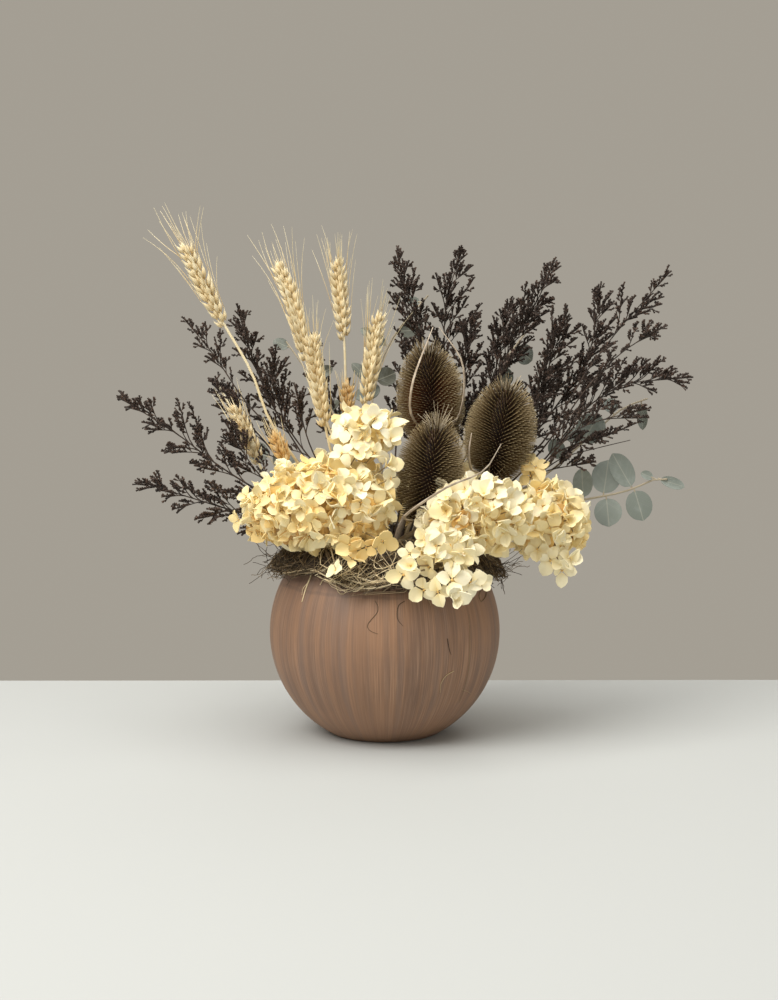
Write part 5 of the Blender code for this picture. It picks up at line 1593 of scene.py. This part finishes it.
connect(leafy_shader, kind.between(0.4, 0.6).mix(wiry, leaf_colour), 0.62, leaf_veins, 0.25, 0.0005)


def sprig(number):
    leaves_foam, places, leaves = EUCALYPTUS[number]
    rng = np.random.default_rng(900 + number)
    route = stem_route(metres(leaves_foam), metres(places))
    bunch = Bunch()
    lay_stem(bunch, route, 0.0, route.length, 0.0012, 0.0007, 0.5, 0.0, sides=7)
    for share, direction, length, width in leaves:
        length, width = metres(length), metres(width)
        foot = route.at(share * route.length)
        ahead = unit(np.array(direction, float))
        face = unit(LEAF_FACE - ahead * float(LEAF_FACE @ ahead))
        across = np.cross(face, ahead)
        x, y, z = leaf_corners.T
        dish = rng.uniform(0.10, 0.34)
        bend = rng.uniform(-0.16, 0.16)
        z = z + dish * x ** 2 + bend * (y - 0.2) ** 2 + 0.03 * np.sin(5 * x + rng.uniform(0, 6)) * y
        along_leaf = y * (length - LEAF_STALK) + LEAF_STALK
        spots = (foot + across * (x * width)[:, None] + ahead * along_leaf[:, None]
                 + face * (z * length)[:, None])
        local = np.column_stack([x, y, np.full(len(x), rng.random())])
        own = np.clip(rng.normal(LEAF_TONE_AND_PAINTED_SHADE[number], 0.20), 0, 1)
        bunch.add(spots[None], leaf_loops, leaf_sizes, own, y[None], 1.0, local[None])
        line = foot + ahead * LEAF_STALK * 1.6 * np.linspace(0, 1, 3)[:, None]
        lay_rods(bunch, line[None], np.full((1, 3), 0.0006), 5, [0.5], 0.0)
    tip_bud = route.at(route.length) + eye_shape[0] * 0.0016
    bunch.add(tip_bud[None], eye_shape[1], eye_shape[2], 0.5, 0.5, 0.0)
    hand_over(bunch.piece(f"eucalyptus_{number}_sprig"), f"eucalyptus_{number}", leafy)


for sprig_number in EUCALYPTUS:
    sprig(sprig_number)

# %% [markdown]
# ## Floor and light
# The vase stands on a plain pale surface in soft studio light: one broad lamp high on the left in
# front, as in the photograph, one overhead, weak ones on the right and behind to open the shadows,
# and a grey surrounding.

# %% Floor
put_down()
bpy.ops.mesh.primitive_plane_add(size=1.0, location=(0, 0, 0))
floor = bpy.context.object
floor.name = "floor"
edit(floor)
bpy.ops.transform.resize(value=(2.6, 1.40, 1.0))
bpy.ops.transform.translate(value=(0, -0.506, 0))
bpy.ops.object.mode_set(mode="OBJECT")
floor_finish, floor_shader, place = new_material("pale_floor")
floor_shader.inputs["Base Color"].default_value = (0.465, 0.480, 0.475, 1.0)
floor_shader.inputs["Roughness"].default_value = 0.75
floor.data.materials.append(floor_finish)

# %% Lamps and surroundings
LAMPS_AIM = Vector((0, 0, 0.16))


def soft_lamp(name, place, size, power, colour):
    lamp_data = bpy.data.lights.new(name, "AREA")
    lamp_data.shape = "SQUARE"
    lamp_data.size = size
    lamp_data.energy = power
    lamp_data.color = colour
    lamp = bpy.data.objects.new(name, lamp_data)
    lamp.location = place
    lamp.rotation_euler = (LAMPS_AIM - Vector(place)).to_track_quat("-Z", "Y").to_euler()
    bpy.context.scene.collection.objects.link(lamp)
    print(name, power, "W")


soft_lamp("key_lamp", (-1.1, -1.0, 1.6), 1.3, 39.5, (1.0, 0.98, 0.94))
soft_lamp("fill_lamp", (1.6, -1.2, 0.8), 1.2, 3.0, (0.92, 0.96, 1.0))
soft_lamp("back_lamp", (0.4, 1.6, 1.4), 1.2, 6.0, (1.0, 0.98, 0.95))
soft_lamp("overhead_lamp", (0.1, -0.3, 2.0), 1.6, 29.0, (1.0, 0.99, 0.96))

surroundings = bpy.data.worlds.new("grey_studio")
surroundings.use_nodes = True
background = surroundings.node_tree.nodes["Background"]
background.inputs["Color"].default_value = (0.345, 0.318, 0.272, 1.0)
background.inputs["Strength"].default_value = 1.08
bpy.context.scene.world = surroundings
bpy.context.scene.view_settings.view_transform = "Standard"

# %% [markdown]
# ## Triangles added

# %% Triangles
print("triangles added", sum(made_triangles.values()), "in", len(made_triangles), "pieces")
